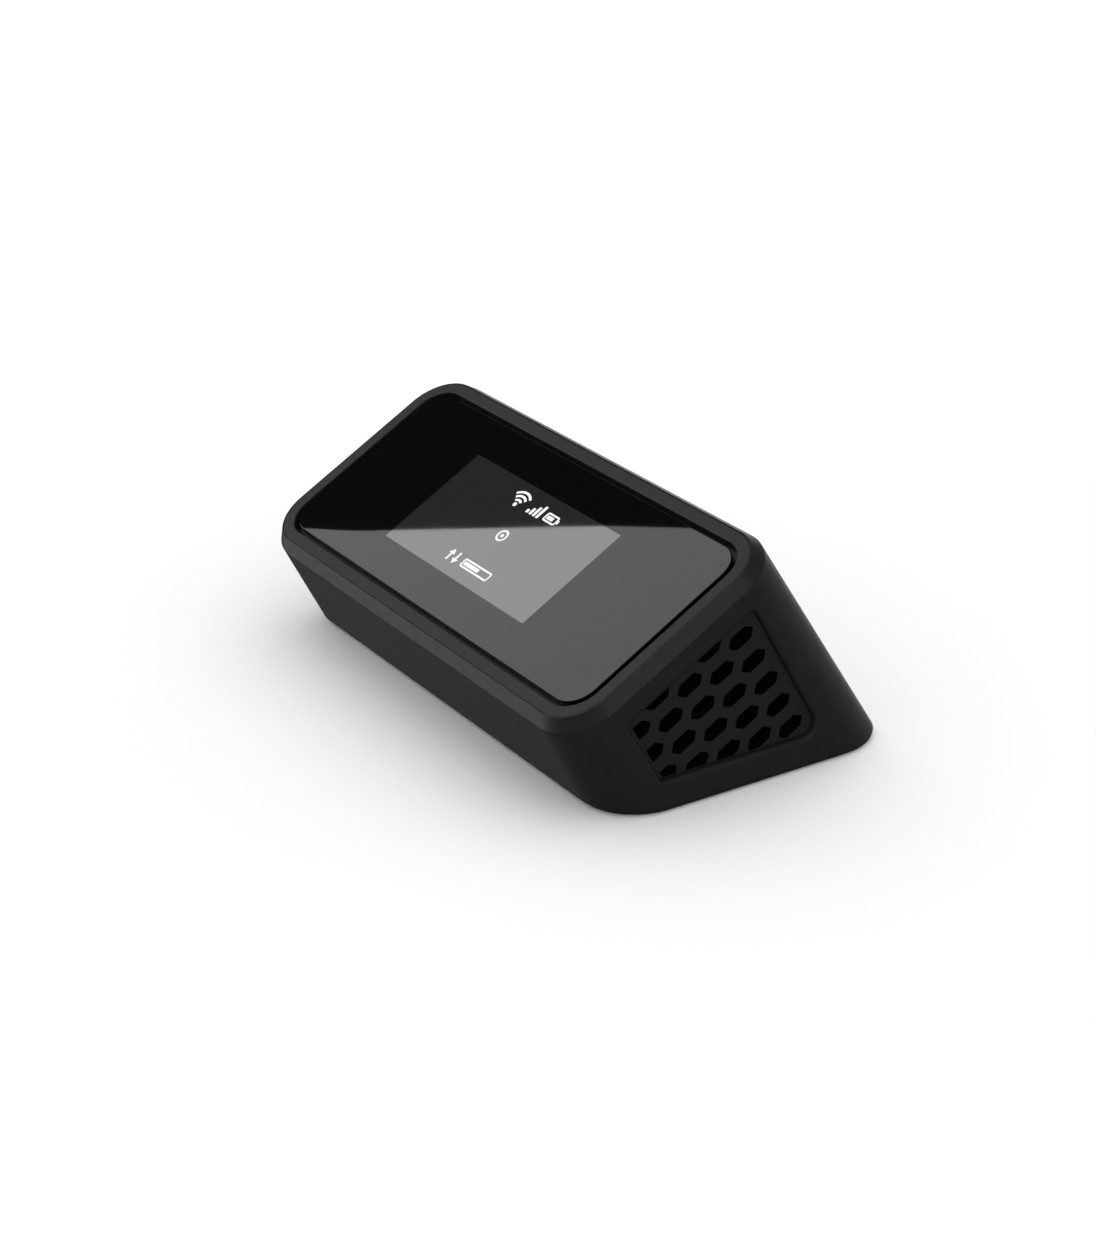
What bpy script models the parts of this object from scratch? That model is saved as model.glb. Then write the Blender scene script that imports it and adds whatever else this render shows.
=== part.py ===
"""Wedge-shaped mobile hotspot for a desk, as separate pieces that fit each other.

All sizes are in millimetres. Most pieces are drawn in the panel frame: x runs across the front, y runs up
the sloping top face, and z stands out of it, with z = 0 on the glass. The rest are drawn upright, z = 0 on
the desk.
"""

import math

import bmesh
import bpy
from mathutils import Matrix, Vector

MM = 0.001

# Driving dimensions
TILT = math.radians(30)             # slope of the top face
GLASS_WIDTH = 105.1
GLASS_HEIGHT = 42.1
GLASS_CORNER = 5.3
GLASS_THICKNESS = 1.1
GLASS_GAP = 1.05                    # black groove between the glass and the rim
RIM_WIDTH = 2.85
RIM_PROUD = 0.15                    # the rim stands this far above the glass
CHAMFER_RUN = 1.6
CHAMFER_DROP = 2.5
FRONT_LEAN = math.tan(math.radians(2.54))   # the walls spread this much per unit of depth
REAR_LEAN = math.tan(math.radians(3.04))
WALL = 2.2
PANEL_HEIGHT = 33.8                 # centre of the glass above the desk
FIT = 0.3                           # clearance between neighbouring pieces
HOUSING_FOOT = 1.1                  # lower edge of the walls above the desk
PLATE_FOOT = 0.5                    # underside of the base plate above the desk
PLATE_INSET = 0.9

# Worked out from them
GLASS_INSET = CHAMFER_RUN + RIM_WIDTH + GLASS_GAP
RIM_INSET = CHAMFER_RUN + RIM_WIDTH
BODY_HALF_WIDTH = GLASS_WIDTH / 2 + GLASS_INSET
BODY_HALF_SLOPE = GLASS_HEIGHT / 2 + GLASS_INSET
BODY_CORNER = GLASS_CORNER + GLASS_INSET
WALL_TOP = RIM_PROUD - CHAMFER_DROP
LIP_INSET = CHAMFER_RUN + 0.25      # inner face of the housing's thin top lip
CORNER_STEPS = 11

# Depths below the glass
LEDGE_TOP = -2.0
LEDGE_BOTTOM = -3.0
FLANGE_TOP = LEDGE_BOTTOM - FIT
FLANGE_BOTTOM = FLANGE_TOP - 1.5
FLANGE_INSET = 4.2
MID_TOP = -6.3
MID_BOTTOM = -7.5
BATTERY_TOP = MID_BOTTOM - FIT
BATTERY_BOTTOM = BATTERY_TOP - 9.5
BOARD_TOP = -21.0
BOARD_BOTTOM = BOARD_TOP - 1.6
PARTS_TOP = BOARD_TOP + FIT         # seat of the parts on the board's upper face
PARTS_BOTTOM = BOARD_BOTTOM - FIT   # seat of the parts on its lower face
BOARD_REAR = 21.5


def lean(depth):
    """How far below the chamfer a depth lies."""
    return max(0.0, WALL_TOP - depth)


def front_wall(depth):
    return -BODY_HALF_SLOPE - FRONT_LEAN * lean(depth)


def rear_wall(depth):
    return BODY_HALF_SLOPE + REAR_LEAN * lean(depth)


def panel_to_desk(y, depth):
    """Distance back and height above the desk of a point in the panel frame, before centring."""
    return (y * math.cos(TILT) - depth * math.sin(TILT),
            PANEL_HEIGHT + y * math.sin(TILT) + depth * math.cos(TILT))


def depth_at_height(y, height):
    """Depth at which the line y = constant of the panel frame meets a height above the desk."""
    return (height - PANEL_HEIGHT - y * math.sin(TILT)) / math.cos(TILT)


# ---------------------------------------------------------------- outlines

def rounded_rectangle(x0, x1, y0, y1, radius, steps=CORNER_STEPS):
    """Outline of a rectangle with round corners, anticlockwise from the right of its lower edge."""
    radius = max(radius, 0.01)
    corners = ((x1 - radius, y0 + radius, -90), (x1 - radius, y1 - radius, 0),
               (x0 + radius, y1 - radius, 90), (x0 + radius, y0 + radius, 180))
    outline = []
    for centre_x, centre_y, start in corners:
        for step in range(steps + 1):
            angle = math.radians(start + 90 * step / steps)
            outline.append((centre_x + radius * math.cos(angle), centre_y + radius * math.sin(angle)))
    return outline


def circle(x, y, radius, steps=16):
    return [(x + radius * math.cos(2 * math.pi * i / steps), y + radius * math.sin(2 * math.pi * i / steps))
            for i in range(steps)]


def body_outline(inset, depth):
    """Outline of the body at a depth, set in from its walls, as points of the panel frame."""
    points = rounded_rectangle(-BODY_HALF_WIDTH + inset, BODY_HALF_WIDTH - inset,
                               front_wall(depth) + inset, rear_wall(depth) - inset, BODY_CORNER - inset)
    return [Vector((x, y, depth)) for x, y in points]


def body_outline_at_height(inset, height):
    """The same outline where the walls meet a level plane."""
    shallow, deep = -10.0, -60.0
    points = []
    for a, b in zip(body_outline(inset, shallow), body_outline(inset, deep)):
        height_a = panel_to_desk(a.y, a.z)[1]
        height_b = panel_to_desk(b.y, b.z)[1]
        points.append(a.lerp(b, (height - height_a) / (height_b - height_a)))
    return points


def cross(a, b):
    return a[0] * b[1] - a[1] * b[0]


def offset_polygon(points, distances):
    """A convex anticlockwise polygon with each edge moved inwards by its own distance."""
    count = len(points)
    lines = []
    for i in range(count):
        start, end = Vector(points[i]), Vector(points[(i + 1) % count])
        along = (end - start).normalized()
        inward = Vector((-along.y, along.x))
        lines.append((start + inward * distances[i], along))
    corners = []
    for i in range(count):
        (p, u), (q, v) = lines[i - 1], lines[i]
        corners.append(p + u * (cross(q - p, v) / cross(u, v)))
    return corners


def round_polygon(points, radii, steps=5):
    """A convex anticlockwise polygon with each corner replaced by an arc."""
    outline = []
    count = len(points)
    for i in range(count):
        corner = Vector(points[i])
        back = (Vector(points[i - 1]) - corner).normalized()
        on = (Vector(points[(i + 1) % count]) - corner).normalized()
        half = back.angle(on) / 2
        centre = corner + (back + on).normalized() * (radii[i] / math.sin(half))
        first = corner + back * (radii[i] / math.tan(half)) - centre
        sweep = math.pi - 2 * half
        for step in range(steps + 1):
            turn = sweep * step / steps
            outline.append((centre.x + first.x * math.cos(turn) - first.y * math.sin(turn),
                            centre.y + first.x * math.sin(turn) + first.y * math.cos(turn)))
    return outline


def clip_polygon(points, window):
    """The part of a convex polygon inside a convex anticlockwise window."""
    kept = [Vector(p) for p in points]
    for i in range(len(window)):
        start, end = Vector(window[i]), Vector(window[(i + 1) % len(window)])
        edge = end - start
        sides = [cross(edge, p - start) for p in kept]
        clipped = []
        for j, point in enumerate(kept):
            following = (j + 1) % len(kept)
            if sides[j] >= 0:
                clipped.append(point)
            if (sides[j] > 0 > sides[following]) or (sides[j] < 0 < sides[following]):
                clipped.append(point.lerp(kept[following], sides[j] / (sides[j] - sides[following])))
        kept = clipped
    return kept


# ---------------------------------------------------------------- solids

materials = {}


def finish(name, colour, roughness, metallic=0.0):
    """A Principled material, made once for each name."""
    if name not in materials:
        material = bpy.data.materials.new(name)
        material.use_nodes = True
        shader = material.node_tree.nodes["Principled BSDF"]
        shader.inputs["Base Color"].default_value = (*colour, 1.0)
        shader.inputs["Roughness"].default_value = roughness
        shader.inputs["Metallic"].default_value = metallic
        material.diffuse_color = (*colour, 1.0)
        materials[name] = material
    return materials[name]


def place(name, mesh, material, parent, origin):
    for face in mesh.faces:
        face.smooth = True
    data = bpy.data.meshes.new(name)
    bmesh.ops.recalc_face_normals(mesh, faces=mesh.faces)
    bmesh.ops.transform(mesh, verts=mesh.verts,
                        matrix=Matrix.Scale(MM, 4) @ Matrix.Translation(-Vector(origin)))
    mesh.to_mesh(data)
    mesh.free()
    data.set_sharp_from_angle(angle=math.radians(35))
    if material:
        data.materials.append(material)
    piece = bpy.data.objects.new(name, data)
    bpy.context.scene.collection.objects.link(piece)
    piece.parent = parent
    piece.location = Vector(origin) * MM
    return piece


def loft(name, rings, material=None, parent=None, closed=False, origin=(0, 0, 0)):
    """A solid skinned over rings of equal length. A closed one joins its last ring to its first."""
    mesh = bmesh.new()
    rows = [[mesh.verts.new(point) for point in ring] for ring in rings]
    pairs = list(zip(rows, rows[1:]))
    if closed:
        pairs.append((rows[-1], rows[0]))
    else:
        mesh.faces.new(rows[0])
        mesh.faces.new(rows[-1])
    for lower, upper in pairs:
        for i in range(len(lower)):
            j = (i + 1) % len(lower)
            mesh.faces.new((lower[i], lower[j], upper[j], upper[i]))
    return place(name, mesh, material, parent, origin)


def prism(name, outline, axis, start, end, material=None, parent=None, origin=(0, 0, 0)):
    """An outline extruded along x, y or z. Its two coordinates are the other two axes, in order."""
    def point(a, b, along):
        return {"x": (along, a, b), "y": (a, along, b), "z": (a, b, along)}[axis]
    rings = [[point(a, b, along) for a, b in outline] for along in (start, end)]
    return loft(name, rings, material, parent, origin=origin)


def block(name, x, y, z, material=None, parent=None, corner=0.0, origin=(0, 0, 0)):
    """A box given by its lowest and highest x, y and z, with upright edges rounded if asked."""
    if corner:
        outline = rounded_rectangle(x[0], x[1], y[0], y[1], corner, 4)
    else:
        outline = [(x[0], y[0]), (x[1], y[0]), (x[1], y[1]), (x[0], y[1])]
    return prism(name, outline, "z", z[0], z[1], material, parent, origin)


def turned(name, profile, x, y, material=None, parent=None, steps=16, origin=(0, 0, 0)):
    """A solid turned about the z axis through x, y. Its profile is (height, radius) pairs."""
    rings = [[(px, py, height) for px, py in circle(x, y, radius, steps)] for height, radius in profile]
    return loft(name, rings, material, parent, origin=origin)


def tube(name, points, radius, material, parent, sides=8):
    """A round lead along a smooth curve through its points."""
    route = [Vector(p) for p in points]
    route = [2 * route[0] - route[1]] + route + [2 * route[-1] - route[-2]]
    smooth = []
    for i in range(1, len(route) - 2):
        a, b, c, d = route[i - 1:i + 3]
        for step in range(4):
            t = step / 4
            smooth.append(0.5 * (2 * b + (c - a) * t + (2 * a - 5 * b + 4 * c - d) * t * t
                                 + (3 * b - a - 3 * c + d) * t ** 3))
    smooth.append(route[-2])
    tangents = [(smooth[min(i + 1, len(smooth) - 1)] - smooth[max(i - 1, 0)]).normalized()
                for i in range(len(smooth))]
    side = tangents[0].orthogonal().normalized()
    rings = []
    for centre, tangent in zip(smooth, tangents):
        side = (side - tangent * side.dot(tangent)).normalized()
        up = tangent.cross(side)
        rings.append([centre + (side * math.cos(a) + up * math.sin(a)) * radius
                      for a in (2 * math.pi * k / sides for k in range(sides))])
    return loft(name, rings, material, parent)


def modify(body, tools, operation):
    """Joins or cuts a body with other shapes, which are kept as hidden guides."""
    for tool in tools:
        tool.hide_render = True
        tool.display_type = "WIRE"
        step = body.modifiers.new(operation.title(), "BOOLEAN")
        step.operation = operation
        step.solver = "EXACT"
        step.object = tool
    return body


def cut(body, *tools):
    return modify(body, tools, "DIFFERENCE")


def join(body, *tools):
    return modify(body, tools, "UNION")


def screw(name, x, y, head, tip, head_radius, shaft_radius, material, parent):
    """A cross-recess screw. Its head's outer face is at head, below its shaft's tip."""
    body = turned(name, [(head, head_radius - 0.3), (head + 0.3, head_radius), (head + 1.0, head_radius),
                         (head + 1.0, shaft_radius), (tip - 0.6, shaft_radius), (tip, shaft_radius * 0.5)],
                  x, y, material, parent, 12)
    arm, width = head_radius * 0.6, 0.3
    across = block(name + "_slot_a", (x - arm, x + arm), (y - width, y + width), (head - 1, head + 0.6),
                   parent=parent)
    along = block(name + "_slot_b", (x - width, x + width), (y - arm, y + arm), (head - 1, head + 0.6),
                  parent=parent)
    return cut(body, across, along)


# ---------------------------------------------------------------- vent pocket and its holes

POCKET_FRONT = -15.7
POCKET_REAR = 16.1
POCKET_TOP = -6.6
POCKET_HEIGHT = 6.4                 # lower edge above the desk
POCKET_DEPTH = 1.1
POCKET_RADII = (1.2, 2.6, 1.6, 1.2)
GRILLE_FACE = 54.55                 # outer face of the flange, clear of the walls' round corners
GRILLE_FLANGE = 0.8
HOLE_FLATS = 3.05                   # across the flats, along the depth
HOLE_TIPS = 5.8
HOLE_FLAT_LENGTH = 3.5
HOLE_PITCH = 6.05                   # along the depth
COLUMN_PITCH = 6.41
FIRST_COLUMN = 11.2
FIRST_HOLE = -10.47
COLUMNS = 5


def pocket_corners():
    """Front bottom, rear bottom, rear top and front top corners as (y, depth), anticlockwise."""
    def rear_edge(depth):
        return POCKET_REAR - FRONT_LEAN * (POCKET_TOP - depth)
    rear_bottom = depth_at_height(POCKET_REAR, POCKET_HEIGHT)
    rear_bottom = depth_at_height(rear_edge(rear_bottom), POCKET_HEIGHT)
    return [(POCKET_FRONT, depth_at_height(POCKET_FRONT, POCKET_HEIGHT)),
            (rear_edge(rear_bottom), rear_bottom), (POCKET_REAR, POCKET_TOP), (POCKET_FRONT, POCKET_TOP)]


def pocket_outline(level, upright):
    """The pocket's rounded outline, its level and upright edges moved inwards by these amounts."""
    return round_polygon(offset_polygon(pocket_corners(), [level, upright, level, upright]),
                         [max(0.4, radius - level) for radius in POCKET_RADII])


def vent_holes():
    """Elongated hexagons in staggered columns, clipped a little inside the pocket's edges."""
    window = offset_polygon(pocket_corners(), [0.6, 0.85, 0.85, 0.85])
    holes = []
    for column in range(COLUMNS):
        y = FIRST_COLUMN - column * COLUMN_PITCH
        stagger = HOLE_PITCH / 2 if column % 2 else 0.0
        for row in range(6):
            depth = FIRST_HOLE + stagger - row * HOLE_PITCH
            flat, tip, half = HOLE_FLAT_LENGTH / 2, HOLE_TIPS / 2, HOLE_FLATS / 2
            hexagon = [(y - tip, depth), (y - flat, depth - half), (y + flat, depth - half),
                       (y + tip, depth), (y + flat, depth + half), (y - flat, depth + half)]
            hole = clip_polygon(hexagon, window)
            inside = clip_polygon(circle(y, depth - 0.05, 0.02, 4), window)
            if len(hole) > 2 and inside:
                holes.append(hole)
    return holes


# ---------------------------------------------------------------- finishes

def finishes():
    finish("housing_plastic", (0.020, 0.020, 0.021), 0.55)
    finish("rim_plastic", (0.022, 0.022, 0.023), 0.50)
    finish("glass", (0.002, 0.002, 0.002), 0.03)
    finish("display", (0.020, 0.020, 0.020), 0.10)
    finish("foam", (0.015, 0.015, 0.015), 0.95)
    finish("adhesive", (0.010, 0.010, 0.010), 0.80)
    finish("sheet_steel", (0.55, 0.56, 0.57), 0.30, 1.0)
    finish("magnesium", (0.20, 0.20, 0.21), 0.50, 1.0)
    finish("aluminium", (0.62, 0.63, 0.64), 0.35, 1.0)
    finish("circuit_board", (0.010, 0.055, 0.030), 0.45)
    finish("component_plastic", (0.012, 0.012, 0.012), 0.40)
    finish("battery_wrap", (0.035, 0.040, 0.050), 0.35)
    finish("flex_film", (0.220, 0.090, 0.015), 0.35)
    finish("coax", (0.015, 0.015, 0.015), 0.50)
    finish("lead", (0.300, 0.010, 0.010), 0.45)
    finish("screw_steel", (0.10, 0.10, 0.11), 0.35, 1.0)
    finish("rubber", (0.012, 0.012, 0.012), 0.85)
    finish("mesh_cloth", (0.004, 0.004, 0.004), 0.95)
    finish("card", (0.75, 0.75, 0.72), 0.40)
    finish("thermal_pad", (0.25, 0.30, 0.36), 0.80)


# ---------------------------------------------------------------- the casing

PORT_DEPTH = -19.1                  # centre line of the rear openings
USB_WIDTH = 8.9
USB_HEIGHT = 3.2
TRAY_X = -27.0
TRAY_DEPTH = -19.5
TRAY_CAP_WIDTH = 16.4
TRAY_CAP_HEIGHT = 3.6
POWER_X = 27.0
POWER_WIDTH = 10.0
POWER_HEIGHT = 4.0
RESET_X = 15.0
RESET_RADIUS = 0.9
BOSS_X = 48.0
BOSS_FRONT = 7.6                    # boss centres, measured in from the walls' lower edges
BOSS_REAR = 10.9
POST_X = 48.6                       # bezel posts
POST_Y = 16.5


def pill(x, depth, width, height):
    return rounded_rectangle(x - width / 2, x + width / 2, depth - height / 2, depth + height / 2,
                             height / 2 - 0.01, 6)


def desk_ends(inset, height):
    """Front and rear of the body's outline at a height above the desk."""
    ys = [panel_to_desk(p.y, p.z)[0] for p in body_outline_at_height(inset, height)]
    return min(ys), max(ys)


def boss_places():
    front, rear = desk_ends(0, HOUSING_FOOT)
    return [(side * BOSS_X, y) for y in (front + BOSS_FRONT, rear - BOSS_REAR) for side in (-1, 1)]


def housing(panel, desk):
    shell = loft("housing", [
        body_outline(CHAMFER_RUN, RIM_PROUD), body_outline(0, WALL_TOP),
        body_outline_at_height(0, HOUSING_FOOT), body_outline_at_height(WALL, HOUSING_FOOT),
        body_outline(WALL, FLANGE_BOTTOM), body_outline(FLANGE_INSET, FLANGE_BOTTOM),
        body_outline(FLANGE_INSET, FLANGE_TOP), body_outline(LIP_INSET, FLANGE_TOP),
        body_outline(LIP_INSET, RIM_PROUD)], materials["housing_plastic"], panel, closed=True)
    bosses = []
    for number, (x, y) in enumerate(boss_places(), 1):
        side = math.copysign(1, x)
        foot, top = PLATE_FOOT + 2.1 + FIT, 10.0
        post = turned(f"boss_{number}", [(foot, 3.0), (top, 3.0)], x, y, parent=desk)
        reach, shift = (54.15, -2.05) if number < 3 else (53.15, 0.1)   # the front ribs clear the vents
        rib = block(f"boss_rib_{number}", sorted((x + side * 0.4, side * reach)),
                    (y + shift - 0.7, y + shift + 0.7), (foot + 0.4, top - 0.5), parent=desk)
        bosses += [post, rib]
    join(shell, *bosses)
    pilots = [turned(f"boss_pilot_{number}", [(0, 1.5), (9.4, 1.5)], x, y, parent=desk, steps=12)
              for number, (x, y) in enumerate(boss_places(), 1)]
    cut(shell, *pilots)
    for side in (-1, 1):
        cut(shell, prism(f"vent_opening_{side}", pocket_outline(0, 0), "x", side * 50, side * 62,
                         parent=panel))
    outlines = {
        "usb_opening": pill(0, PORT_DEPTH, USB_WIDTH + 2 * FIT, USB_HEIGHT + 2 * FIT),
        "tray_opening": rounded_rectangle(
            TRAY_X - TRAY_CAP_WIDTH / 2 - FIT, TRAY_X + TRAY_CAP_WIDTH / 2 + FIT,
            TRAY_DEPTH - TRAY_CAP_HEIGHT / 2 - FIT, TRAY_DEPTH + TRAY_CAP_HEIGHT / 2 + FIT, 1.1, 4),
        "power_opening": pill(POWER_X, PORT_DEPTH, POWER_WIDTH + 2 * FIT, POWER_HEIGHT + 2 * FIT),
        "reset_opening": circle(RESET_X, PORT_DEPTH, RESET_RADIUS + FIT),
    }
    return cut(shell, *[prism(name, outline, "y", 20, 32, parent=panel) for name, outline in outlines.items()])


def bezel_ring(panel):
    outer, inner = LIP_INSET + FIT, 8.6
    ring = loft("bezel_ring", [
        body_outline(outer, RIM_PROUD), body_outline(outer, LEDGE_BOTTOM), body_outline(inner, LEDGE_BOTTOM),
        body_outline(inner, LEDGE_TOP), body_outline(RIM_INSET, LEDGE_TOP),
        body_outline(RIM_INSET, RIM_PROUD)], materials["rim_plastic"], panel, closed=True)
    posts, pilots = [], []
    for x in (-POST_X, POST_X):
        for y in (-POST_Y, POST_Y):
            posts.append(turned(f"bezel_post_{x:.0f}_{y:.0f}", [(MID_TOP + FIT, 2.4), (LEDGE_TOP - 0.4, 2.4)],
                                x, y, parent=panel))
            pilots.append(turned(f"bezel_pilot_{x:.0f}_{y:.0f}", [(MID_TOP - 1, 1.3), (-3.6, 1.3)],
                                 x, y, parent=panel, steps=12))
    join(ring, *posts)
    return cut(ring, *pilots)


def glass_and_adhesive(panel):
    loft("cover_glass", [body_outline(GLASS_INSET, -GLASS_THICKNESS), body_outline(GLASS_INSET, 0)],
         materials["glass"], panel)
    top, bottom = -GLASS_THICKNESS - FIT, LEDGE_TOP + FIT
    outer, inner = GLASS_INSET + 0.4, 8.4
    loft("glass_adhesive", [
        body_outline(outer, top), body_outline(outer, bottom), body_outline(inner, bottom),
        body_outline(inner, top)], materials["adhesive"], panel, closed=True)


def grille(side, name, panel):
    """A flange behind the wall and a raised field in its opening, with the vent holes through both."""
    field = BODY_HALF_WIDTH - POCKET_DEPTH
    flange = prism(name, pocket_outline(-1.3, -1.0), "x", side * (GRILLE_FACE - GRILLE_FLANGE),
                   side * GRILLE_FACE, materials["housing_plastic"], panel)
    join(flange, prism(name + "_field", pocket_outline(FIT, FIT), "x", side * (GRILLE_FACE - 0.3),
                       side * field, parent=panel))
    holes = [prism(f"{name}_hole_{number}", hole, "x", side * 50, side * 62, parent=panel)
             for number, hole in enumerate(vent_holes())]
    return cut(flange, *holes)


def dust_screen(side, name, panel):
    outer = GRILLE_FACE - GRILLE_FLANGE - FIT
    return prism(name, pocket_outline(-0.6, -0.6), "x", side * (outer - 0.5), side * outer,
                 materials["mesh_cloth"], panel)


PAD_HALF_WIDTH = 42.0
PAD_HALF_DEPTH = 20.0
PLATE_TOP = PLATE_FOOT + 2.1


def base_cover(panel, desk):
    """The plate under the body: a thin flange below the walls and a thicker field between them."""
    step = HOUSING_FOOT - FIT
    plate = loft("base_cover", [
        body_outline_at_height(PLATE_INSET, PLATE_FOOT), body_outline_at_height(PLATE_INSET, step),
        body_outline_at_height(WALL + FIT, step), body_outline_at_height(WALL + FIT, PLATE_TOP)],
        materials["housing_plastic"], panel)
    middle = sum(desk_ends(0, HOUSING_FOOT)) / 2
    recess = block("pad_recess", (-PAD_HALF_WIDTH - FIT, PAD_HALF_WIDTH + FIT),
                   (middle - PAD_HALF_DEPTH - FIT, middle + PAD_HALF_DEPTH + FIT), (-1, PLATE_FOOT + 0.8),
                   parent=desk, corner=6 + FIT)
    cut(plate, recess)
    for number, (x, y) in enumerate(boss_places(), 1):
        hole = [(-1, 3.1), (PLATE_FOOT + 1.2, 3.1), (PLATE_FOOT + 1.2, 1.5), (6, 1.5)]
        cut(plate, turned(f"screw_hole_{number}", hole, x, y, parent=desk))
        screw(f"base_screw_{number}", x, y, PLATE_FOOT - 0.1, 8.8, 2.7, 1.15, materials["screw_steel"],
              desk)
    block("foot_pad", (-PAD_HALF_WIDTH, PAD_HALF_WIDTH), (middle - PAD_HALF_DEPTH, middle + PAD_HALF_DEPTH),
          (0, PLATE_FOOT + 0.5), materials["rubber"], desk, corner=6)


# ---------------------------------------------------------------- display

def display(panel):
    top = -GLASS_THICKNESS - FIT
    block("display_module", (-29, 29), (-16, 16), (top - 1.8, top), materials["display"], panel, corner=1)
    back = top - 1.8 - FIT
    tray = block("display_backplate", (-30, 30), (-17, 17), (back - 0.6, back), materials["sheet_steel"],
                 panel, corner=1)
    slot = block("display_backplate_window", (-9, 9), (-16, -13.5), (back - 2, back + 1), parent=panel)
    cut(tray, slot)
    foam_top = back - 0.6 - FIT
    block("display_foam", (-26, 26), (-11, 14), (MID_TOP + FIT, foam_top), materials["foam"], panel, corner=1)


def display_flex(panel):
    """A film from under the display, round the front of the battery, to its connector on the board."""
    half, film = 6.0, 0.25
    start, bend = -12.0, -21.6
    upper, lower = -5.5, BOARD_TOP + 2.0
    middle_line = [(start, upper), (bend + 1.5, upper), (bend + 0.4, upper - 0.4), (bend, upper - 1.5),
                   (bend, lower + 1.5), (bend + 0.4, lower + 0.4), (bend + 1.5, lower), (-15.6, lower)]
    rows = []
    for i, (y, depth) in enumerate(middle_line):
        before = Vector(middle_line[max(i - 1, 0)])
        after = Vector(middle_line[min(i + 1, len(middle_line) - 1)])
        along = (after - before).normalized()
        side = Vector((-along.y, along.x)) * film / 2
        rows.append([(-half, y + side.x, depth + side.y), (half, y + side.x, depth + side.y),
                     (half, y - side.x, depth - side.y), (-half, y - side.x, depth - side.y)])
    loft("display_flex", rows, materials["flex_film"], panel)
    block("flex_connector", (-7, 7), (-15.2, -11.8), (PARTS_TOP, lower + 0.6), materials["component_plastic"],
          panel)


# ---------------------------------------------------------------- frame, battery and board

BOARD_POST_X = 40.5
BOARD_POSTS_Y = (-13.0, 17.5)


def mid_frame(panel):
    """A plate under the flange with a raised rim, and four posts that carry the main board."""
    plate = loft("mid_frame", [
        body_outline(2.7, MID_BOTTOM), body_outline(2.7, FLANGE_BOTTOM - FIT),
        body_outline(FLANGE_INSET - 0.1, FLANGE_BOTTOM - FIT), body_outline(FLANGE_INSET - 0.1, MID_TOP)],
        materials["magnesium"], panel)
    for x in (-BOARD_POST_X, BOARD_POST_X):
        for y in BOARD_POSTS_Y:
            join(plate, turned(f"board_post_{x:.0f}_{y:.0f}",
                               [(BOARD_TOP + FIT, 2.5), (MID_BOTTOM + 0.4, 2.5)], x, y, parent=panel,
                               steps=12))
            cut(plate, turned(f"board_post_pilot_{x:.0f}_{y:.0f}", [(BOARD_TOP - 1, 1.3), (-14.5, 1.3)],
                              x, y, parent=panel, steps=12))
    cut(plate, block("flex_slot", (-7.5, 7.5), (-22.4, -20.6), (-10, -3), parent=panel))
    for side in (-1, 1):                # room for the grilles and their screens
        cut(plate, block(f"grille_notch_{side}", sorted((side * 52.65, side * 60)), (-18.2, 18.6), (-10, -3),
                         parent=panel))
    number = 0
    for x in (-POST_X, POST_X):
        for y in (-POST_Y, POST_Y):
            number += 1
            cut(plate, turned(f"mid_frame_hole_{number}", [(-10, 1.3), (-4, 1.3)], x, y, parent=panel,
                              steps=12))
            screw(f"mid_frame_screw_{number}", x, y, MID_BOTTOM - FIT - 1.0, -4.0, 2.2, 0.95,
                  materials["screw_steel"], panel)
    return plate


BATTERY_END = 36.5


def battery(panel):
    block("battery_pack", (-BATTERY_END, BATTERY_END), (-19, 15), (BATTERY_BOTTOM, BATTERY_TOP),
          materials["battery_wrap"], panel, corner=3)
    block("battery_connector", (31, 37), (-8, -4), (PARTS_TOP, PARTS_TOP + 2.6),
          materials["component_plastic"], panel)
    tube("battery_lead", [(37.2, 2, -12.6), (38.6, 1.6, -12.9), (39.3, -1, -14.8), (39.2, -4, -17.6),
                          (38.4, -6, -19.0), (37.5, -6, -19.3)], 0.7, materials["lead"], panel)


def main_board(panel):
    board = block("main_board", (-43, 43), (-16.5, BOARD_REAR), (BOARD_BOTTOM, BOARD_TOP),
                  materials["circuit_board"], panel, corner=2)
    number = 0
    for x in (-BOARD_POST_X, BOARD_POST_X):
        for y in BOARD_POSTS_Y:
            number += 1
            cut(board, turned(f"board_hole_{number}", [(BOARD_BOTTOM - 1, 1.4), (BOARD_TOP + 1, 1.4)], x, y,
                              parent=panel, steps=12))
            screw(f"board_screw_{number}", x, y, BOARD_BOTTOM - FIT - 1.0, -15.2, 2.2, 0.95,
                  materials["screw_steel"], panel)
    return board


def shield(name, x, y, panel):
    """A drawn can, open towards the board."""
    can = block(name, x, y, (PARTS_TOP, PARTS_TOP + 2.3), materials["sheet_steel"], panel, corner=0.6)
    wall = 0.3
    return cut(can, block(name + "_inside", (x[0] + wall, x[1] - wall), (y[0] + wall, y[1] - wall),
                          (PARTS_TOP - 1, PARTS_TOP + 2.0), parent=panel))


HEATSINK_X = 30.0
HEATSINK_SCREW_X = 26.5
HEATSINK_Y = (3.0, 20.5)


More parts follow.
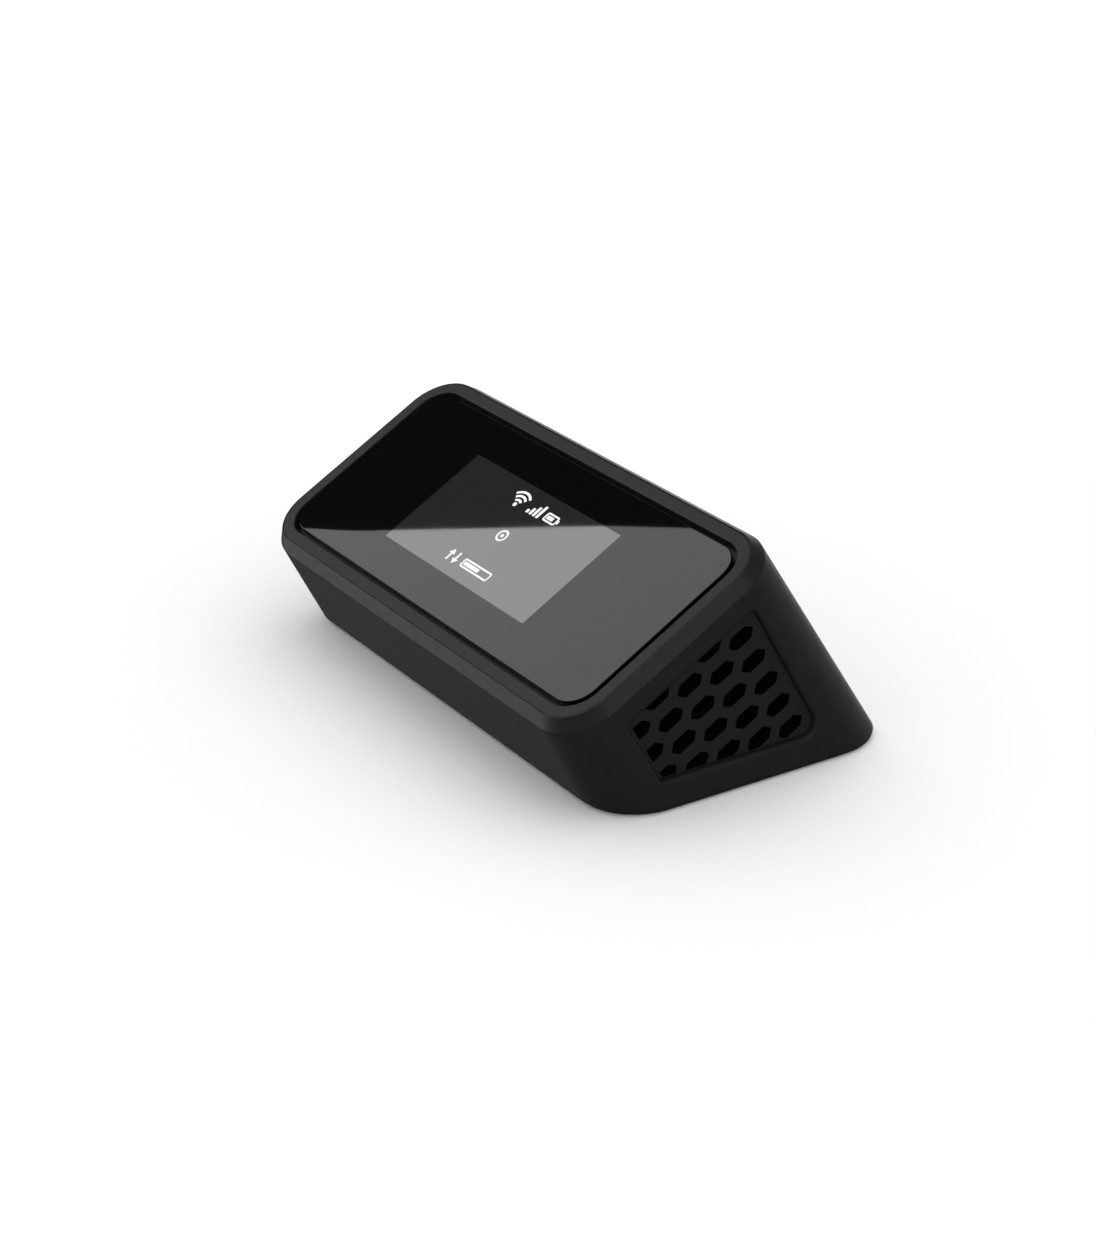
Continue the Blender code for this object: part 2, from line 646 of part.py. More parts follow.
def modem_and_heatsink(panel):
    module_bottom = PARTS_BOTTOM - 2.3
    block("modem_module", (-21, 21), (-8.5, 21.0), (module_bottom, PARTS_BOTTOM),
          materials["component_plastic"], panel, corner=0.5)
    pad_bottom = module_bottom - FIT - 0.9
    block("thermal_pad", (-17, 17), (4.5, 19), (pad_bottom, module_bottom - FIT), materials["thermal_pad"],
          panel)
    base_top = pad_bottom - FIT
    base_bottom = base_top - 1.8
    sink = block("heatsink", (-HEATSINK_X, HEATSINK_X), HEATSINK_Y, (base_bottom, base_top),
                 materials["aluminium"], panel)
    for fin in range(9):
        x = -20 + 5 * fin
        join(sink, block(f"fin_{fin}", (x - 0.5, x + 0.5), (HEATSINK_Y[0], HEATSINK_Y[1]),
                         (base_bottom - 4.6, base_bottom + 0.5), parent=panel))
    middle = sum(HEATSINK_Y) / 2
    for number, x in enumerate((-HEATSINK_SCREW_X, HEATSINK_SCREW_X), 1):
        hole = [(base_bottom - 2, 1.4), (base_top + 1, 1.4)]
        cut(sink, turned(f"heatsink_hole_{number}", hole, x, middle, parent=panel, steps=12))
        cut(bpy.data.objects["main_board"],
            turned(f"heatsink_board_hole_{number}", [(BOARD_BOTTOM - 1, 1.4), (BOARD_TOP + 1, 1.4)],
                   x, middle, parent=panel, steps=12))
        screw(f"heatsink_screw_{number}", x, middle, base_bottom - FIT - 1.0, BOARD_TOP - 0.2, 2.2, 0.95,
              materials["screw_steel"], panel)


# ---------------------------------------------------------------- rear openings and what moves there

def usb_socket(panel):
    """A stadium-shaped metal shell with a tongue in it, closed at the back."""
    front, back, wall = rear_wall(PORT_DEPTH) - 0.5, 19.4, 0.35
    shell = prism("usb_c_socket", pill(0, PORT_DEPTH, USB_WIDTH, USB_HEIGHT), "y", back, front,
                  materials["sheet_steel"], panel)
    cut(shell, prism("usb_bore", pill(0, PORT_DEPTH, USB_WIDTH - 2 * wall, USB_HEIGHT - 2 * wall), "y",
                     back + 1.6, front + 2, parent=panel))
    join(shell, block("usb_tongue", (-3.35, 3.35), (back + 1.0, front - 0.9),
                      (PORT_DEPTH - 0.35, PORT_DEPTH + 0.35), parent=panel))
    return shell


def sim_socket(panel):
    """A folded cage over the tray, open towards the board and at its mouth."""
    half, wall, top = 8.4, 0.4, PARTS_TOP + 2.8
    cage = block("sim_socket", (TRAY_X - half, TRAY_X + half), (3.0, 21.0), (PARTS_TOP, top),
                 materials["sheet_steel"], panel)
    return cut(cage, block("sim_socket_inside", (TRAY_X - half + wall, TRAY_X + half - wall), (3.4, 25),
                           (PARTS_TOP - 1, top - wall), parent=panel))


def flush_cap(name, outline, back, proud, material, panel, origin):
    """A cap whose face follows the rear wall, with its back square to the slide direction."""
    rings = [[(x, back, depth) for x, depth in outline],
             [(x, rear_wall(depth) + proud, depth) for x, depth in outline]]
    return loft(name, rings, material, panel, origin=origin)


def sim_tray(panel):
    """The tray slides along the panel's y axis. Its card lies in a pocket with a floor."""
    origin = (TRAY_X, rear_wall(TRAY_DEPTH), TRAY_DEPTH)
    cap = flush_cap("sim_tray", rounded_rectangle(
        TRAY_X - TRAY_CAP_WIDTH / 2, TRAY_X + TRAY_CAP_WIDTH / 2, TRAY_DEPTH - TRAY_CAP_HEIGHT / 2,
        TRAY_DEPTH + TRAY_CAP_HEIGHT / 2, 0.8, 4), 24.6, 0.0, materials["housing_plastic"], panel, origin)
    plate_top, plate_bottom = TRAY_DEPTH + 0.8, TRAY_DEPTH - 0.8
    join(cap, block("tray_plate", (TRAY_X - 7.5, TRAY_X + 7.5), (4.6, 24.9), (plate_bottom, plate_top),
                    parent=panel))
    card_x, card_y = (TRAY_X - 4.4, TRAY_X + 4.4), (6.6, 18.9)
    floor = plate_top - 1.15
    cut(cap, block("card_pocket", (card_x[0] - FIT, card_x[1] + FIT), (card_y[0] - FIT, card_y[1] + FIT),
                   (floor, plate_top + 1), parent=panel),
        prism("nail_groove", rounded_rectangle(
            TRAY_X - 4, TRAY_X + 4, TRAY_DEPTH - 0.5, TRAY_DEPTH + 0.5, 0.45, 4), "y",
              rear_wall(TRAY_DEPTH) - 0.7, 32, parent=panel))
    block("sim_card", card_x, card_y, (floor + FIT, floor + FIT + 0.67), materials["card"], panel, corner=0.8,
          origin=origin)


def power_button(panel):
    """A pill-shaped key with a flange behind the wall and a stem to its switch."""
    origin = (POWER_X, rear_wall(PORT_DEPTH), PORT_DEPTH)
    key = flush_cap("power_button", pill(POWER_X, PORT_DEPTH, POWER_WIDTH, POWER_HEIGHT), 24.0, 0.8,
                    materials["rim_plastic"], panel, origin)
    join(key, prism("power_flange", pill(POWER_X, PORT_DEPTH, POWER_WIDTH + 2.4, POWER_HEIGHT + 2.0), "y",
                    23.0, 24.5, parent=panel),
         block("power_stem", (POWER_X - 1.5, POWER_X + 1.5), (22.0, 23.5),
               (PORT_DEPTH - 0.8, PORT_DEPTH + 0.8), parent=panel))
    switch("power_switch", POWER_X, panel)
    return key


def reset_button(panel):
    """A small plunger, sunk in its hole, that a pin pushes."""
    origin = (RESET_X, rear_wall(PORT_DEPTH), PORT_DEPTH)
    plunger = prism("reset_button", circle(RESET_X, PORT_DEPTH, RESET_RADIUS), "y", 22.0,
                    rear_wall(PORT_DEPTH) - 0.9, materials["rim_plastic"], panel, origin=origin)
    join(plunger, prism("reset_flange", circle(RESET_X, PORT_DEPTH, 2.0), "y", 23.2, 24.5, parent=panel))
    switch("reset_switch", RESET_X, panel)
    return plunger


def switch(name, x, panel):
    """A right-angle tact switch at the board's rear edge."""
    body = block(name, (x - 2.6, x + 2.6), (17.0, 20.6), (PARTS_TOP, PARTS_TOP + 3.2),
                 materials["component_plastic"], panel)
    return join(body, prism(name + "_plunger", circle(x, PORT_DEPTH, 0.9, 12), "y", 20.3, 21.2, parent=panel))


# ---------------------------------------------------------------- antennas

ANTENNA_THICKNESS = 0.3
ANTENNA_GAP = 0.3


def antenna(name, x, depths, wall_face, inward, panel):
    """A thin printed film on the inside of a wall. inward is the direction away from the wall."""
    rows = []
    for depth in depths:
        near = wall_face(depth) + inward * (WALL + ANTENNA_GAP)
        far = near + inward * ANTENNA_THICKNESS
        rows.append([(x[0], near, depth), (x[1], near, depth), (x[1], far, depth), (x[0], far, depth)])
    return loft(name, rows, materials["flex_film"], panel)


def antennas(panel):
    front, rear = (-9.5, -20.0), (-30.0, -42.0)
    antenna("antenna_front_left", (-38, -12), front, front_wall, 1, panel)
    antenna("antenna_front_right", (12, 38), front, front_wall, 1, panel)
    antenna("antenna_rear_left", (-42, -16), rear, rear_wall, -1, panel)
    antenna("antenna_rear_right", (16, 42), rear, rear_wall, -1, panel)
    below = BOARD_BOTTOM - 1.4
    for name, side in (("left", -1), ("right", 1)):
        tube(f"coax_front_{name}", [(side * 36, -23.4, -18.0), (side * 37.5, -22.6, -20.5),
                                    (side * 38.0, -20.0, -23.2), (side * 34, -14.0, below - 0.2),
                                    (side * 28, -8.0, below), (side * 22.2, -4.0, below)],
             0.55, materials["coax"], panel, 6)
        tube(f"coax_rear_{name}", [(side * 38, 25.0, -33.5), (side * 37, 23.6, -31.0),
                                   (side * 35, 19.5, -26.8), (side * 31, 12.0, below - 0.6),
                                   (side * 27, 4.0, below), (side * 22.2, 0.0, below)],
             0.55, materials["coax"], panel, 6)


# ---------------------------------------------------------------- assembly

def main():
    for old in list(bpy.data.objects):
        bpy.data.objects.remove(old, do_unlink=True)
    finishes()
    front = panel_to_desk(-BODY_HALF_SLOPE, WALL_TOP)[0]
    rear = desk_ends(0, HOUSING_FOOT)[1]
    centring = -(front + rear) / 2
    desk = bpy.data.objects.new("desk_frame", None)
    desk.location = (0, centring * MM, 0)
    panel = bpy.data.objects.new("panel_frame", None)
    panel.location = (0, centring * MM, PANEL_HEIGHT * MM)
    panel.rotation_euler = (TILT, 0, 0)
    for frame in (desk, panel):
        bpy.context.scene.collection.objects.link(frame)

    housing(panel, desk)
    bezel_ring(panel)
    glass_and_adhesive(panel)
    for side, name in ((-1, "left"), (1, "right")):
        grille(side, f"grille_{name}", panel)
        dust_screen(side, f"dust_screen_{name}", panel)
    base_cover(panel, desk)
    display(panel)
    display_flex(panel)
    mid_frame(panel)
    battery(panel)
    main_board(panel)
    shield("wifi_shield", (-30, -9), (-10.5, 1.5), panel)
    shield("power_shield", (9, 29), (-10.5, 10), panel)
    modem_and_heatsink(panel)
    usb_socket(panel)
    sim_socket(panel)
    sim_tray(panel)
    power_button(panel)
    reset_button(panel)
    antennas(panel)


main()
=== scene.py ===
import math

import bmesh
import bpy
from mathutils import Matrix, Vector


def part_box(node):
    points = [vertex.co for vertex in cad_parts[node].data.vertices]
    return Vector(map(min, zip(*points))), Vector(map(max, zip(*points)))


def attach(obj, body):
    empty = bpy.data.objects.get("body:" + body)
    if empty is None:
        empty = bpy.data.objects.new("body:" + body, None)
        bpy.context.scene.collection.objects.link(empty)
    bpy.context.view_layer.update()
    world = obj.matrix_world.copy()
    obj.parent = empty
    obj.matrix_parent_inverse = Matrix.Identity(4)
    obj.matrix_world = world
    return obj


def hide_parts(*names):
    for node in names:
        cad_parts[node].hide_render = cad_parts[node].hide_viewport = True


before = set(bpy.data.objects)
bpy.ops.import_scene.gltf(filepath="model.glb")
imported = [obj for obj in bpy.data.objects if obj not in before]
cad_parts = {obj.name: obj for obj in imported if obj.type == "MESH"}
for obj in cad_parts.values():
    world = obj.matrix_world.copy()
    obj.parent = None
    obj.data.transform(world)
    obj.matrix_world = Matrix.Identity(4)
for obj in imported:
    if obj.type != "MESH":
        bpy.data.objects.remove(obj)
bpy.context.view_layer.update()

print("frame loaded:", len(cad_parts), "CAD nodes")

# Lengths are in millimetres in the panel's own frame: x along the front, y up the sloping face, z out of it.
body = {
    "tilt": 30.0,                   # slope of the glass, degrees
    "halfWidth": 58.05,
    "halfSlope": 26.55,             # half the body's size up the slope, at the chamfer's lower edge
    "corner": 10.8,
    "rimTop": 0.15,                 # above the glass
    "wallTop": -2.35,               # where the chamfer meets the walls
    "chamferRun": 1.6,
    "frontLean": 0.04436,           # spread of the front and rear walls for each millimetre down
    "rearLean": 0.05311,
    "wall": 2.2,
    "footEdge": 1.1,                # lower edge of the walls above the desk
    "cornerSteps": 26,
}

glassLow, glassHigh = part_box("cover_glass")
slope = math.radians(body["tilt"])
panelNormal = Vector((0, -math.sin(slope), math.cos(slope)))
glassMiddle = (glassLow + glassHigh) / 2 + panelNormal * 0.00055
panelPlace = Matrix.Translation(glassMiddle) @ Matrix.Rotation(slope, 4, "X") @ Matrix.Scale(0.001, 4)
panelHeight = glassMiddle.z * 1000
deskPlace = Matrix.Translation((0, glassMiddle.y, 0)) @ Matrix.Scale(0.001, 4)


def wallLines(depth):
    drop = max(0.0, body["wallTop"] - depth)
    return -body["halfSlope"] - body["frontLean"] * drop, body["halfSlope"] + body["rearLean"] * drop


def rearWall(depth):
    return wallLines(depth)[1]


def roundedBox(x0, x1, y0, y1, radius, steps=8):
    radius = max(radius, 0.01)
    outline = []
    for x, y, start in ((x1 - radius, y0 + radius, -90), (x1 - radius, y1 - radius, 0),
                        (x0 + radius, y1 - radius, 90), (x0 + radius, y0 + radius, 180)):
        for step in range(steps + 1):
            angle = math.radians(start + 90 * step / steps)
            outline.append((x + radius * math.cos(angle), y + radius * math.sin(angle)))
    return outline


def discOutline(x, y, radius, steps=32):
    return [(x + radius * math.cos(2 * math.pi * i / steps), y + radius * math.sin(2 * math.pi * i / steps))
            for i in range(steps)]


def pillOutline(x, y, width, height, grow=0.0):
    halfX, halfY = width / 2 + grow, height / 2 + grow
    return roundedBox(x - halfX, x + halfX, y - halfY, y + halfY, halfY - 0.01, 12)


def ringAtDepth(inset, depth):
    front, rear = wallLines(depth)
    flat = roundedBox(-body["halfWidth"] + inset, body["halfWidth"] - inset, front + inset, rear - inset,
                      body["corner"] - inset, body["cornerSteps"])
    return [Vector((x, y, depth)) for x, y in flat]


def heightOf(point):
    return panelHeight + point.y * math.sin(slope) + point.z * math.cos(slope)


def ringAtHeight(inset, height):
    ring = []
    for a, b in zip(ringAtDepth(inset, -10.0), ringAtDepth(inset, -60.0)):
        ring.append(a.lerp(b, (height - heightOf(a)) / (heightOf(b) - heightOf(a))))
    return ring


def crossOf(a, b):
    return a[0] * b[1] - a[1] * b[0]


def filletAt(before, corner, after, radius, steps=5):
    corner = Vector(corner)
    back, on = (Vector(before) - corner).normalized(), (Vector(after) - corner).normalized()
    half = back.angle(on) / 2
    centre = corner + (back + on).normalized() * (radius / math.sin(half))
    first = corner + back * (radius / math.tan(half)) - centre
    sweep = (math.pi - 2 * half) * (1 if crossOf(-back, on) > 0 else -1)
    return [centre + Matrix.Rotation(sweep * step / steps, 2) @ first for step in range(steps + 1)]


def roundCorners(points, radii, steps=6):
    outline = []
    for i, point in enumerate(points):
        outline += filletAt(points[i - 1], point, points[(i + 1) % len(points)], radii[i], steps)
    return outline


def moveEdges(points, distances):
    lines = []
    for i, point in enumerate(points):
        start, end = Vector(point), Vector(points[(i + 1) % len(points)])
        along = (end - start).normalized()
        lines.append((start + Vector((-along.y, along.x)) * distances[i], along))
    corners = []
    for i in range(len(points)):
        (p, u), (q, v) = lines[i - 1], lines[i]
        corners.append(p + u * (crossOf(q - p, v) / crossOf(u, v)))
    return corners


def makeObject(name, mesh, place=panelPlace):
    bmesh.ops.remove_doubles(mesh, verts=mesh.verts, dist=1e-5)
    bmesh.ops.recalc_face_normals(mesh, faces=mesh.faces)
    for face in mesh.faces:
        face.smooth = True
    data = bpy.data.meshes.new(name)
    mesh.to_mesh(data)
    mesh.free()
    data.transform(place)
    piece = bpy.data.objects.new(name, data)
    bpy.context.scene.collection.objects.link(piece)
    return piece


def skinRings(name, rings, closed=False, place=panelPlace):
    mesh = bmesh.new()
    rows = [[mesh.verts.new(point) for point in ring] for ring in rings]
    pairs = list(zip(rows, rows[1:]))
    if closed:
        pairs.append((rows[-1], rows[0]))
    else:
        mesh.faces.new(rows[0])
        mesh.faces.new(rows[-1])
    for low, high in pairs:
        for i in range(len(low)):
            j = (i + 1) % len(low)
            mesh.faces.new((low[i], low[j], high[j], high[i]))
    return makeObject(name, mesh, place)


# Each row is the kind of ring, its corner, a fillet radius, and the corner's neighbours where they differ.
def skinProfile(name, profile, closed=True):
    rings = []
    for i, row in enumerate(profile):
        kind, corner, radius = row[:3]
        before = row[3] if len(row) > 3 else profile[i - 1][1]
        after = row[4] if len(row) > 4 else profile[(i + 1) % len(profile)][1]
        ringOf = ringAtDepth if kind == "depth" else ringAtHeight
        for point in filletAt(before, corner, after, radius) if radius else [corner]:
            rings.append(ringOf(*point))
    return skinRings(name, rings, closed)


def extrude(name, outline, axis, start, end, place=panelPlace):
    def at(a, b, c):
        return {"x": (c, a, b), "y": (a, c, b), "z": (a, b, c)}[axis]
    return skinRings(name, [[at(a, b, c) for a, b in outline] for c in (start, end)], place=place)


def boxPiece(name, x, y, z, corner=0.0, place=panelPlace):
    (x0, x1), (y0, y1) = x, y
    outline = roundedBox(x0, x1, y0, y1, corner, 6) if corner else [(x0, y0), (x1, y0), (x1, y1), (x0, y1)]
    return extrude(name, outline, "z", *z, place=place)


def turnedPiece(name, profile, x, y, place=panelPlace, steps=32):
    return skinRings(name, [[(px, py, height) for px, py in discOutline(x, y, radius, steps)]
                            for height, radius in profile], place=place)


# Applies the modifiers.
def settle(piece):
    view = bpy.context.evaluated_depsgraph_get()
    data = bpy.data.meshes.new_from_object(piece.evaluated_get(view))
    piece.modifiers.clear()
    piece.data = data
    return piece


def combine(piece, tools, operation):
    for tool in tools:
        step = piece.modifiers.new("combine", "BOOLEAN")
        step.operation, step.solver, step.object = operation, "EXACT", tool
    settle(piece)
    for tool in tools:
        bpy.data.objects.remove(tool, do_unlink=True)
    return piece


def cutAway(piece, *tools):
    return combine(piece, tools, "DIFFERENCE")


def addOn(piece, *tools):
    return combine(piece, tools, "UNION")


def easeEdges(piece, width, angle=35):
    step = piece.modifiers.new("ease", "BEVEL")
    step.width, step.segments, step.limit_method = width * 0.001, 3, "ANGLE"
    step.angle_limit = math.radians(angle)
    step.use_clamp_overlap = True
    return settle(piece)


def evenShading(piece, angle=40):
    piece.data.set_sharp_from_angle(angle=math.radians(angle))
    step = piece.modifiers.new("even", "WEIGHTED_NORMAL")
    step.keep_sharp = True
    step.weight = 100
    return settle(piece)


def linear(code, alpha=1.0):
    values = [int(code[i:i + 2], 16) / 255 for i in (1, 3, 5)]
    return (*[v / 12.92 if v <= 0.04045 else ((v + 0.055) / 1.055) ** 2.4 for v in values], alpha)


def addNode(tree, kind, settings=None, links=None):
    node = tree.nodes.new(kind)
    for key, value in (settings or {}).items():
        if isinstance(key, int) or key in node.inputs:
            node.inputs[key].default_value = value
        else:
            setattr(node, key, value)
    for key, source in (links or {}).items():
        tree.links.new(source, node.inputs[key])
    return node


# A function that adds a Math node to the tree and gives its result; numbers are set, sockets are linked.
def calculator(tree):
    def calc(operation, *values):
        settings = {i: v for i, v in enumerate(values) if isinstance(v, (int, float))}
        sources = {i: v for i, v in enumerate(values) if not isinstance(v, (int, float))}
        return addNode(tree, "ShaderNodeMath", {"operation": operation, **settings}, sources).outputs[0]
    return calc


bandsPerUnit = 3.18             # of the Wave texture at a scale of one


# Colour, roughness and relief vary, each at its own real size in millimetres.
def surface(name, values):
    material = bpy.data.materials.new(name)
    material.use_nodes = True
    tree = material.node_tree
    shader = tree.nodes["Principled BSDF"]
    place = addNode(tree, "ShaderNodeMapping", {"Rotation": values.get("turn", (0.0, 0.0, 0.0)),
                                                "Scale": values.get("stretch", (1.0, 1.0, 1.0))},
                    {"Vector": addNode(tree, "ShaderNodeTexCoord").outputs["Object"]}).outputs[0]

    def grain(size, detail=2.0):
        return addNode(tree, "ShaderNodeTexNoise", {"Scale": 1000 / size, "Detail": detail},
                       {"Vector": place}).outputs[0]
    patch = grain(values.get("patchSize", 6.0), 4.0)
    low, high = values["colours"]
    mix = addNode(tree, "ShaderNodeMix", {"data_type": "RGBA", 6: linear(low), 7: linear(high)}, {0: patch})
    tree.links.new(mix.outputs[2], shader.inputs["Base Color"])
    rough, spread = values["roughness"]
    wear = addNode(tree, "ShaderNodeMapRange", {"From Min": 0.3, "From Max": 0.7, "To Min": rough - spread,
                                                "To Max": rough + spread},
                   {"Value": grain(values.get("wearSize", 2.5), 3.0)})
    tree.links.new(wear.outputs[0], shader.inputs["Roughness"])
    shader.inputs["Metallic"].default_value = values.get("metallic", 0.0)
    if "ior" in values:
        shader.inputs["IOR"].default_value = values["ior"]
    normal = None
    for size, relief in values.get("relief", ()):
        bump = addNode(tree, "ShaderNodeBump", {"Strength": 1.0, "Distance": relief * 0.001},
                       {"Height": grain(size)})
        if normal:
            tree.links.new(normal, bump.inputs["Normal"])
        normal = bump.outputs[0]
    if "weave" in values:
        size, relief = values["weave"]
        height = None
        for direction in ("Y", "Z"):
            bands = {"wave_type": "BANDS", "bands_direction": direction, "Scale": 1000 / size / bandsPerUnit}
            wave = addNode(tree, "ShaderNodeTexWave", bands, {"Vector": place}).outputs[1]
            height = wave if height is None else addNode(tree, "ShaderNodeMath", {"operation": "MAXIMUM"},
                                                         {0: height, 1: wave}).outputs[0]
        bump = addNode(tree, "ShaderNodeBump", {"Distance": relief * 0.001}, {"Height": height})
        normal = bump.outputs[0]
    if normal:
        tree.links.new(normal, shader.inputs["Normal"])
    return material


finishes = {
    # moulded ABS blend with a fine spark-eroded grain: near-black satin that only shows at the edges
    "mouldedAbs": {"colours": ("#1a1a1a", "#1e1e1e"), "roughness": (0.46, 0.03), "ior": 1.5,
                   "relief": ((0.35, 0.0035),)},
    # the same plastic from a smoother tool, a little glossier
    "smoothAbs": {"colours": ("#161616", "#1a1a1a"), "roughness": (0.46, 0.025), "ior": 1.43,
                  "relief": ((0.3, 0.002),)},
    # the same plastic on the walls of the deep holes, its colour darkened and its gloss dulled as painted
    # shade, since hardly any light gets in there
    "holeAbs": {"colours": ("#060606", "#090909"), "roughness": (0.7, 0.05), "ior": 1.2},
    # nitrile rubber: dull, slightly mottled
    "padRubber": {"colours": ("#141414", "#1c1c1c"), "roughness": (0.8, 0.06), "relief": ((0.5, 0.02),)},
    # polyester screen cloth: dull black with threads every 0.6 mm, coarser than real so that they show
    "screenCloth": {"colours": ("#050505", "#090909"), "roughness": (0.9, 0.05), "weave": (0.6, 0.08),
                    "turn": (-slope, 0.0, 0.0)},
    # tin-plated steel strip: bright, faintly streaked by rolling
    "tinnedSteel": {"colours": ("#b9bbbd", "#d2d3d5"), "roughness": (0.28, 0.08), "metallic": 1.0,
                    "stretch": (0.15, 1.0, 1.0), "patchSize": 1.5},
    # black zinc on steel screws
    "blackZinc": {"colours": ("#3a3a3d", "#4c4c50"), "roughness": (0.38, 0.08), "metallic": 1.0,
                  "relief": ((0.6, 0.004),)},
    # die-cast magnesium: matt grey with a sandy skin
    "castMagnesium": {"colours": ("#77787a", "#8b8c8e"), "roughness": (0.55, 0.07), "metallic": 1.0,
                      "relief": ((0.5, 0.02),)},
    # extruded aluminium, drawn along the fins
    "drawnAluminium": {"colours": ("#c3c5c8", "#d6d8da"), "roughness": (0.33, 0.07), "metallic": 1.0,
                       "stretch": (1.0, 0.1, 0.1), "patchSize": 1.0},
    # solder mask over laminate
    "solderMask": {"colours": ("#10402a", "#1b5a3a"), "roughness": (0.4, 0.06), "patchSize": 3.0,
                   "relief": ((0.8, 0.015),)},
    # epoxy moulding compound: flat dark grey, finely pitted
    "mouldingEpoxy": {"colours": ("#1b1c1e", "#26272a"), "roughness": (0.5, 0.06),
                      "relief": ((0.25, 0.006),)},
    # heat-shrunk polyester wrap round the cells
    "cellWrap": {"colours": ("#30343c", "#3b404a"), "roughness": (0.32, 0.05), "relief": ((9.0, 0.12),)},
    # polyimide film: amber, with a soft sheen
    "amberFilm": {"colours": ("#8a4a12", "#a8641f"), "roughness": (0.3, 0.05), "patchSize": 4.0},
    # PVC on the battery lead and on the coaxial cables
    "redPvc": {"colours": ("#8c1410", "#a31c16"), "roughness": (0.42, 0.05), "relief": ((0.8, 0.01),)},
    "blackPvc": {"colours": ("#151515", "#202020"), "roughness": (0.45, 0.05), "relief": ((0.8, 0.01),)},
    # silicone gap filler: chalky blue-grey
    "gapFiller": {"colours": ("#76808c", "#8a94a0"), "roughness": (0.8, 0.06), "relief": ((0.9, 0.03),)},
    # open-cell foam and acrylic tape
    "openFoam": {"colours": ("#121212", "#1f1f1f"), "roughness": (0.95, 0.04), "relief": ((0.7, 0.1),)},
    "blackTape": {"colours": ("#0d0d0d", "#141414"), "roughness": (0.75, 0.06), "relief": ((0.6, 0.01),)},
    # white PVC card
    "cardPvc": {"colours": ("#dcdcd6", "#e8e8e3"), "roughness": (0.38, 0.04), "relief": ((1.2, 0.004),)},
    # gold-flashed contacts
    "goldFlash": {"colours": ("#c79a3c", "#e0b65a"), "roughness": (0.25, 0.06), "metallic": 1.0,
                  "patchSize": 1.0},
}
skins = {name: surface(name, values) for name, values in finishes.items()}

polishes = {
    # toughened glass with black ink behind it
    "inkedGlass": {"ink": "#020202", "ior": 1.5, "roughness": 0.012},
    # the same glass over the display: more gloss and a dim glow
    "litPanel": {"ink": "#020202", "ior": 2.2, "roughness": 0.015, "glow": "#ffffff", "strength": 0.0135},
    "litSign": {"ink": "#202020", "ior": 1.5, "roughness": 0.3, "glow": "#ffffff", "strength": 1.0},
}


# Polished glass over ink or over a lit panel, with a faint smear in its gloss.
def polished(name, values):
    material = bpy.data.materials.new(name)
    material.use_nodes = True
    tree = material.node_tree
    shader = tree.nodes["Principled BSDF"]
    shader.inputs["Base Color"].default_value = linear(values["ink"])
    shader.inputs["IOR"].default_value = values["ior"]
    place = addNode(tree, "ShaderNodeTexCoord").outputs["Object"]
    smear = addNode(tree, "ShaderNodeTexNoise", {"Scale": 90.0, "Detail": 4.0}, {"Vector": place}).outputs[0]
    gloss = addNode(tree, "ShaderNodeMapRange", {"To Min": values["roughness"] * 0.6,
                                                 "To Max": values["roughness"] * 1.4}, {"Value": smear})
    tree.links.new(gloss.outputs[0], shader.inputs["Roughness"])
    if "glow" in values:
        level = addNode(tree, "ShaderNodeMapRange", {"To Min": 0.95, "To Max": 1.05}, {"Value": smear})
        tint = addNode(tree, "ShaderNodeMix", {"data_type": "RGBA", "blend_type": "MULTIPLY", 0: 1.0,
                                               6: linear(values["glow"])}, {7: level.outputs[0]})
        tree.links.new(tint.outputs[2], shader.inputs["Emission Color"])
        shader.inputs["Emission Strength"].default_value = values["strength"]
    return material


skins.update({name: polished(name, values) for name, values in polishes.items()})
print("finishes made:", len(skins))


# Gives a finished piece its material and its body, and hides the CAD nodes that it stands for.
def fit(piece, skin, rides, slot, *nodes):
    piece.data.materials.clear()
    piece.data.materials.append(skins[skin])
    for face in piece.data.polygons:
        face.material_index = 0
    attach(piece, rides)
    if nodes:
        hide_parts(*nodes)
    print("made", piece.name, len(piece.data.polygons))
    return piece


def makeTree(name, inputs):
    tree = bpy.data.node_groups.new(name, "GeometryNodeTree")
    tree.interface.new_socket("Geometry", in_out="INPUT", socket_type="NodeSocketGeometry")
    for label, kind in inputs:
        tree.interface.new_socket(label, in_out="INPUT", socket_type="NodeSocket" + kind)
    tree.interface.new_socket("Geometry", in_out="OUTPUT", socket_type="NodeSocketGeometry")
    return tree, tree.nodes.new("NodeGroupInput").outputs


def endTree(tree, geometry, given):
    real = addNode(tree, "GeometryNodeRealizeInstances", links={"Geometry": geometry})
    painted = addNode(tree, "GeometryNodeSetMaterial", links={"Geometry": real.outputs[0],
                                                              "Material": given["Material"]})
    tree.links.new(painted.outputs[0], tree.nodes.new("NodeGroupOutput").inputs[0])
    return tree


def runTree(piece, tree, values):
    step = piece.modifiers.new("tree", "NODES")
    step.node_group = tree
    for item in tree.interface.items_tree:
        if item.in_out == "INPUT" and item.name in values:
            step[item.identifier] = values[item.name]
    return settle(piece)


vent = {
    "front": -15.7, "rear": 16.1, "top": -6.6,      # edges of the pocket, up the slope and in depth
    "bottomHeight": 6.75,                           # of its lower edge above the desk
    "sunk": 1.1,                                    # how far its floor lies below the wall
    "radii": (1.2, 2.6, 1.6, 1.2),
    "tips": 6.15, "flats": 3.12, "flatLength": 3.45,  # one hole
    "columnPitch": 6.44, "rowPitch": 6.05, "firstColumn": 11.37, "firstRow": -10.47,
    "columns": 5, "rows": 6,
    "edge": 0.9,                                    # fillet round the pocket's mouth
    "holeEdge": 0.14, "holeCorner": 0.5,
    "clip": (0.25, 0.85, 0.85, 0.85),               # how far inside the pocket's edges the holes end
    "flangeBack": 53.75, "flangeFace": 54.55, "flangeReach": (-1.3, -1.0),
    "gap": 0.04, "ease": 0.08,                      # round the grille's face
}


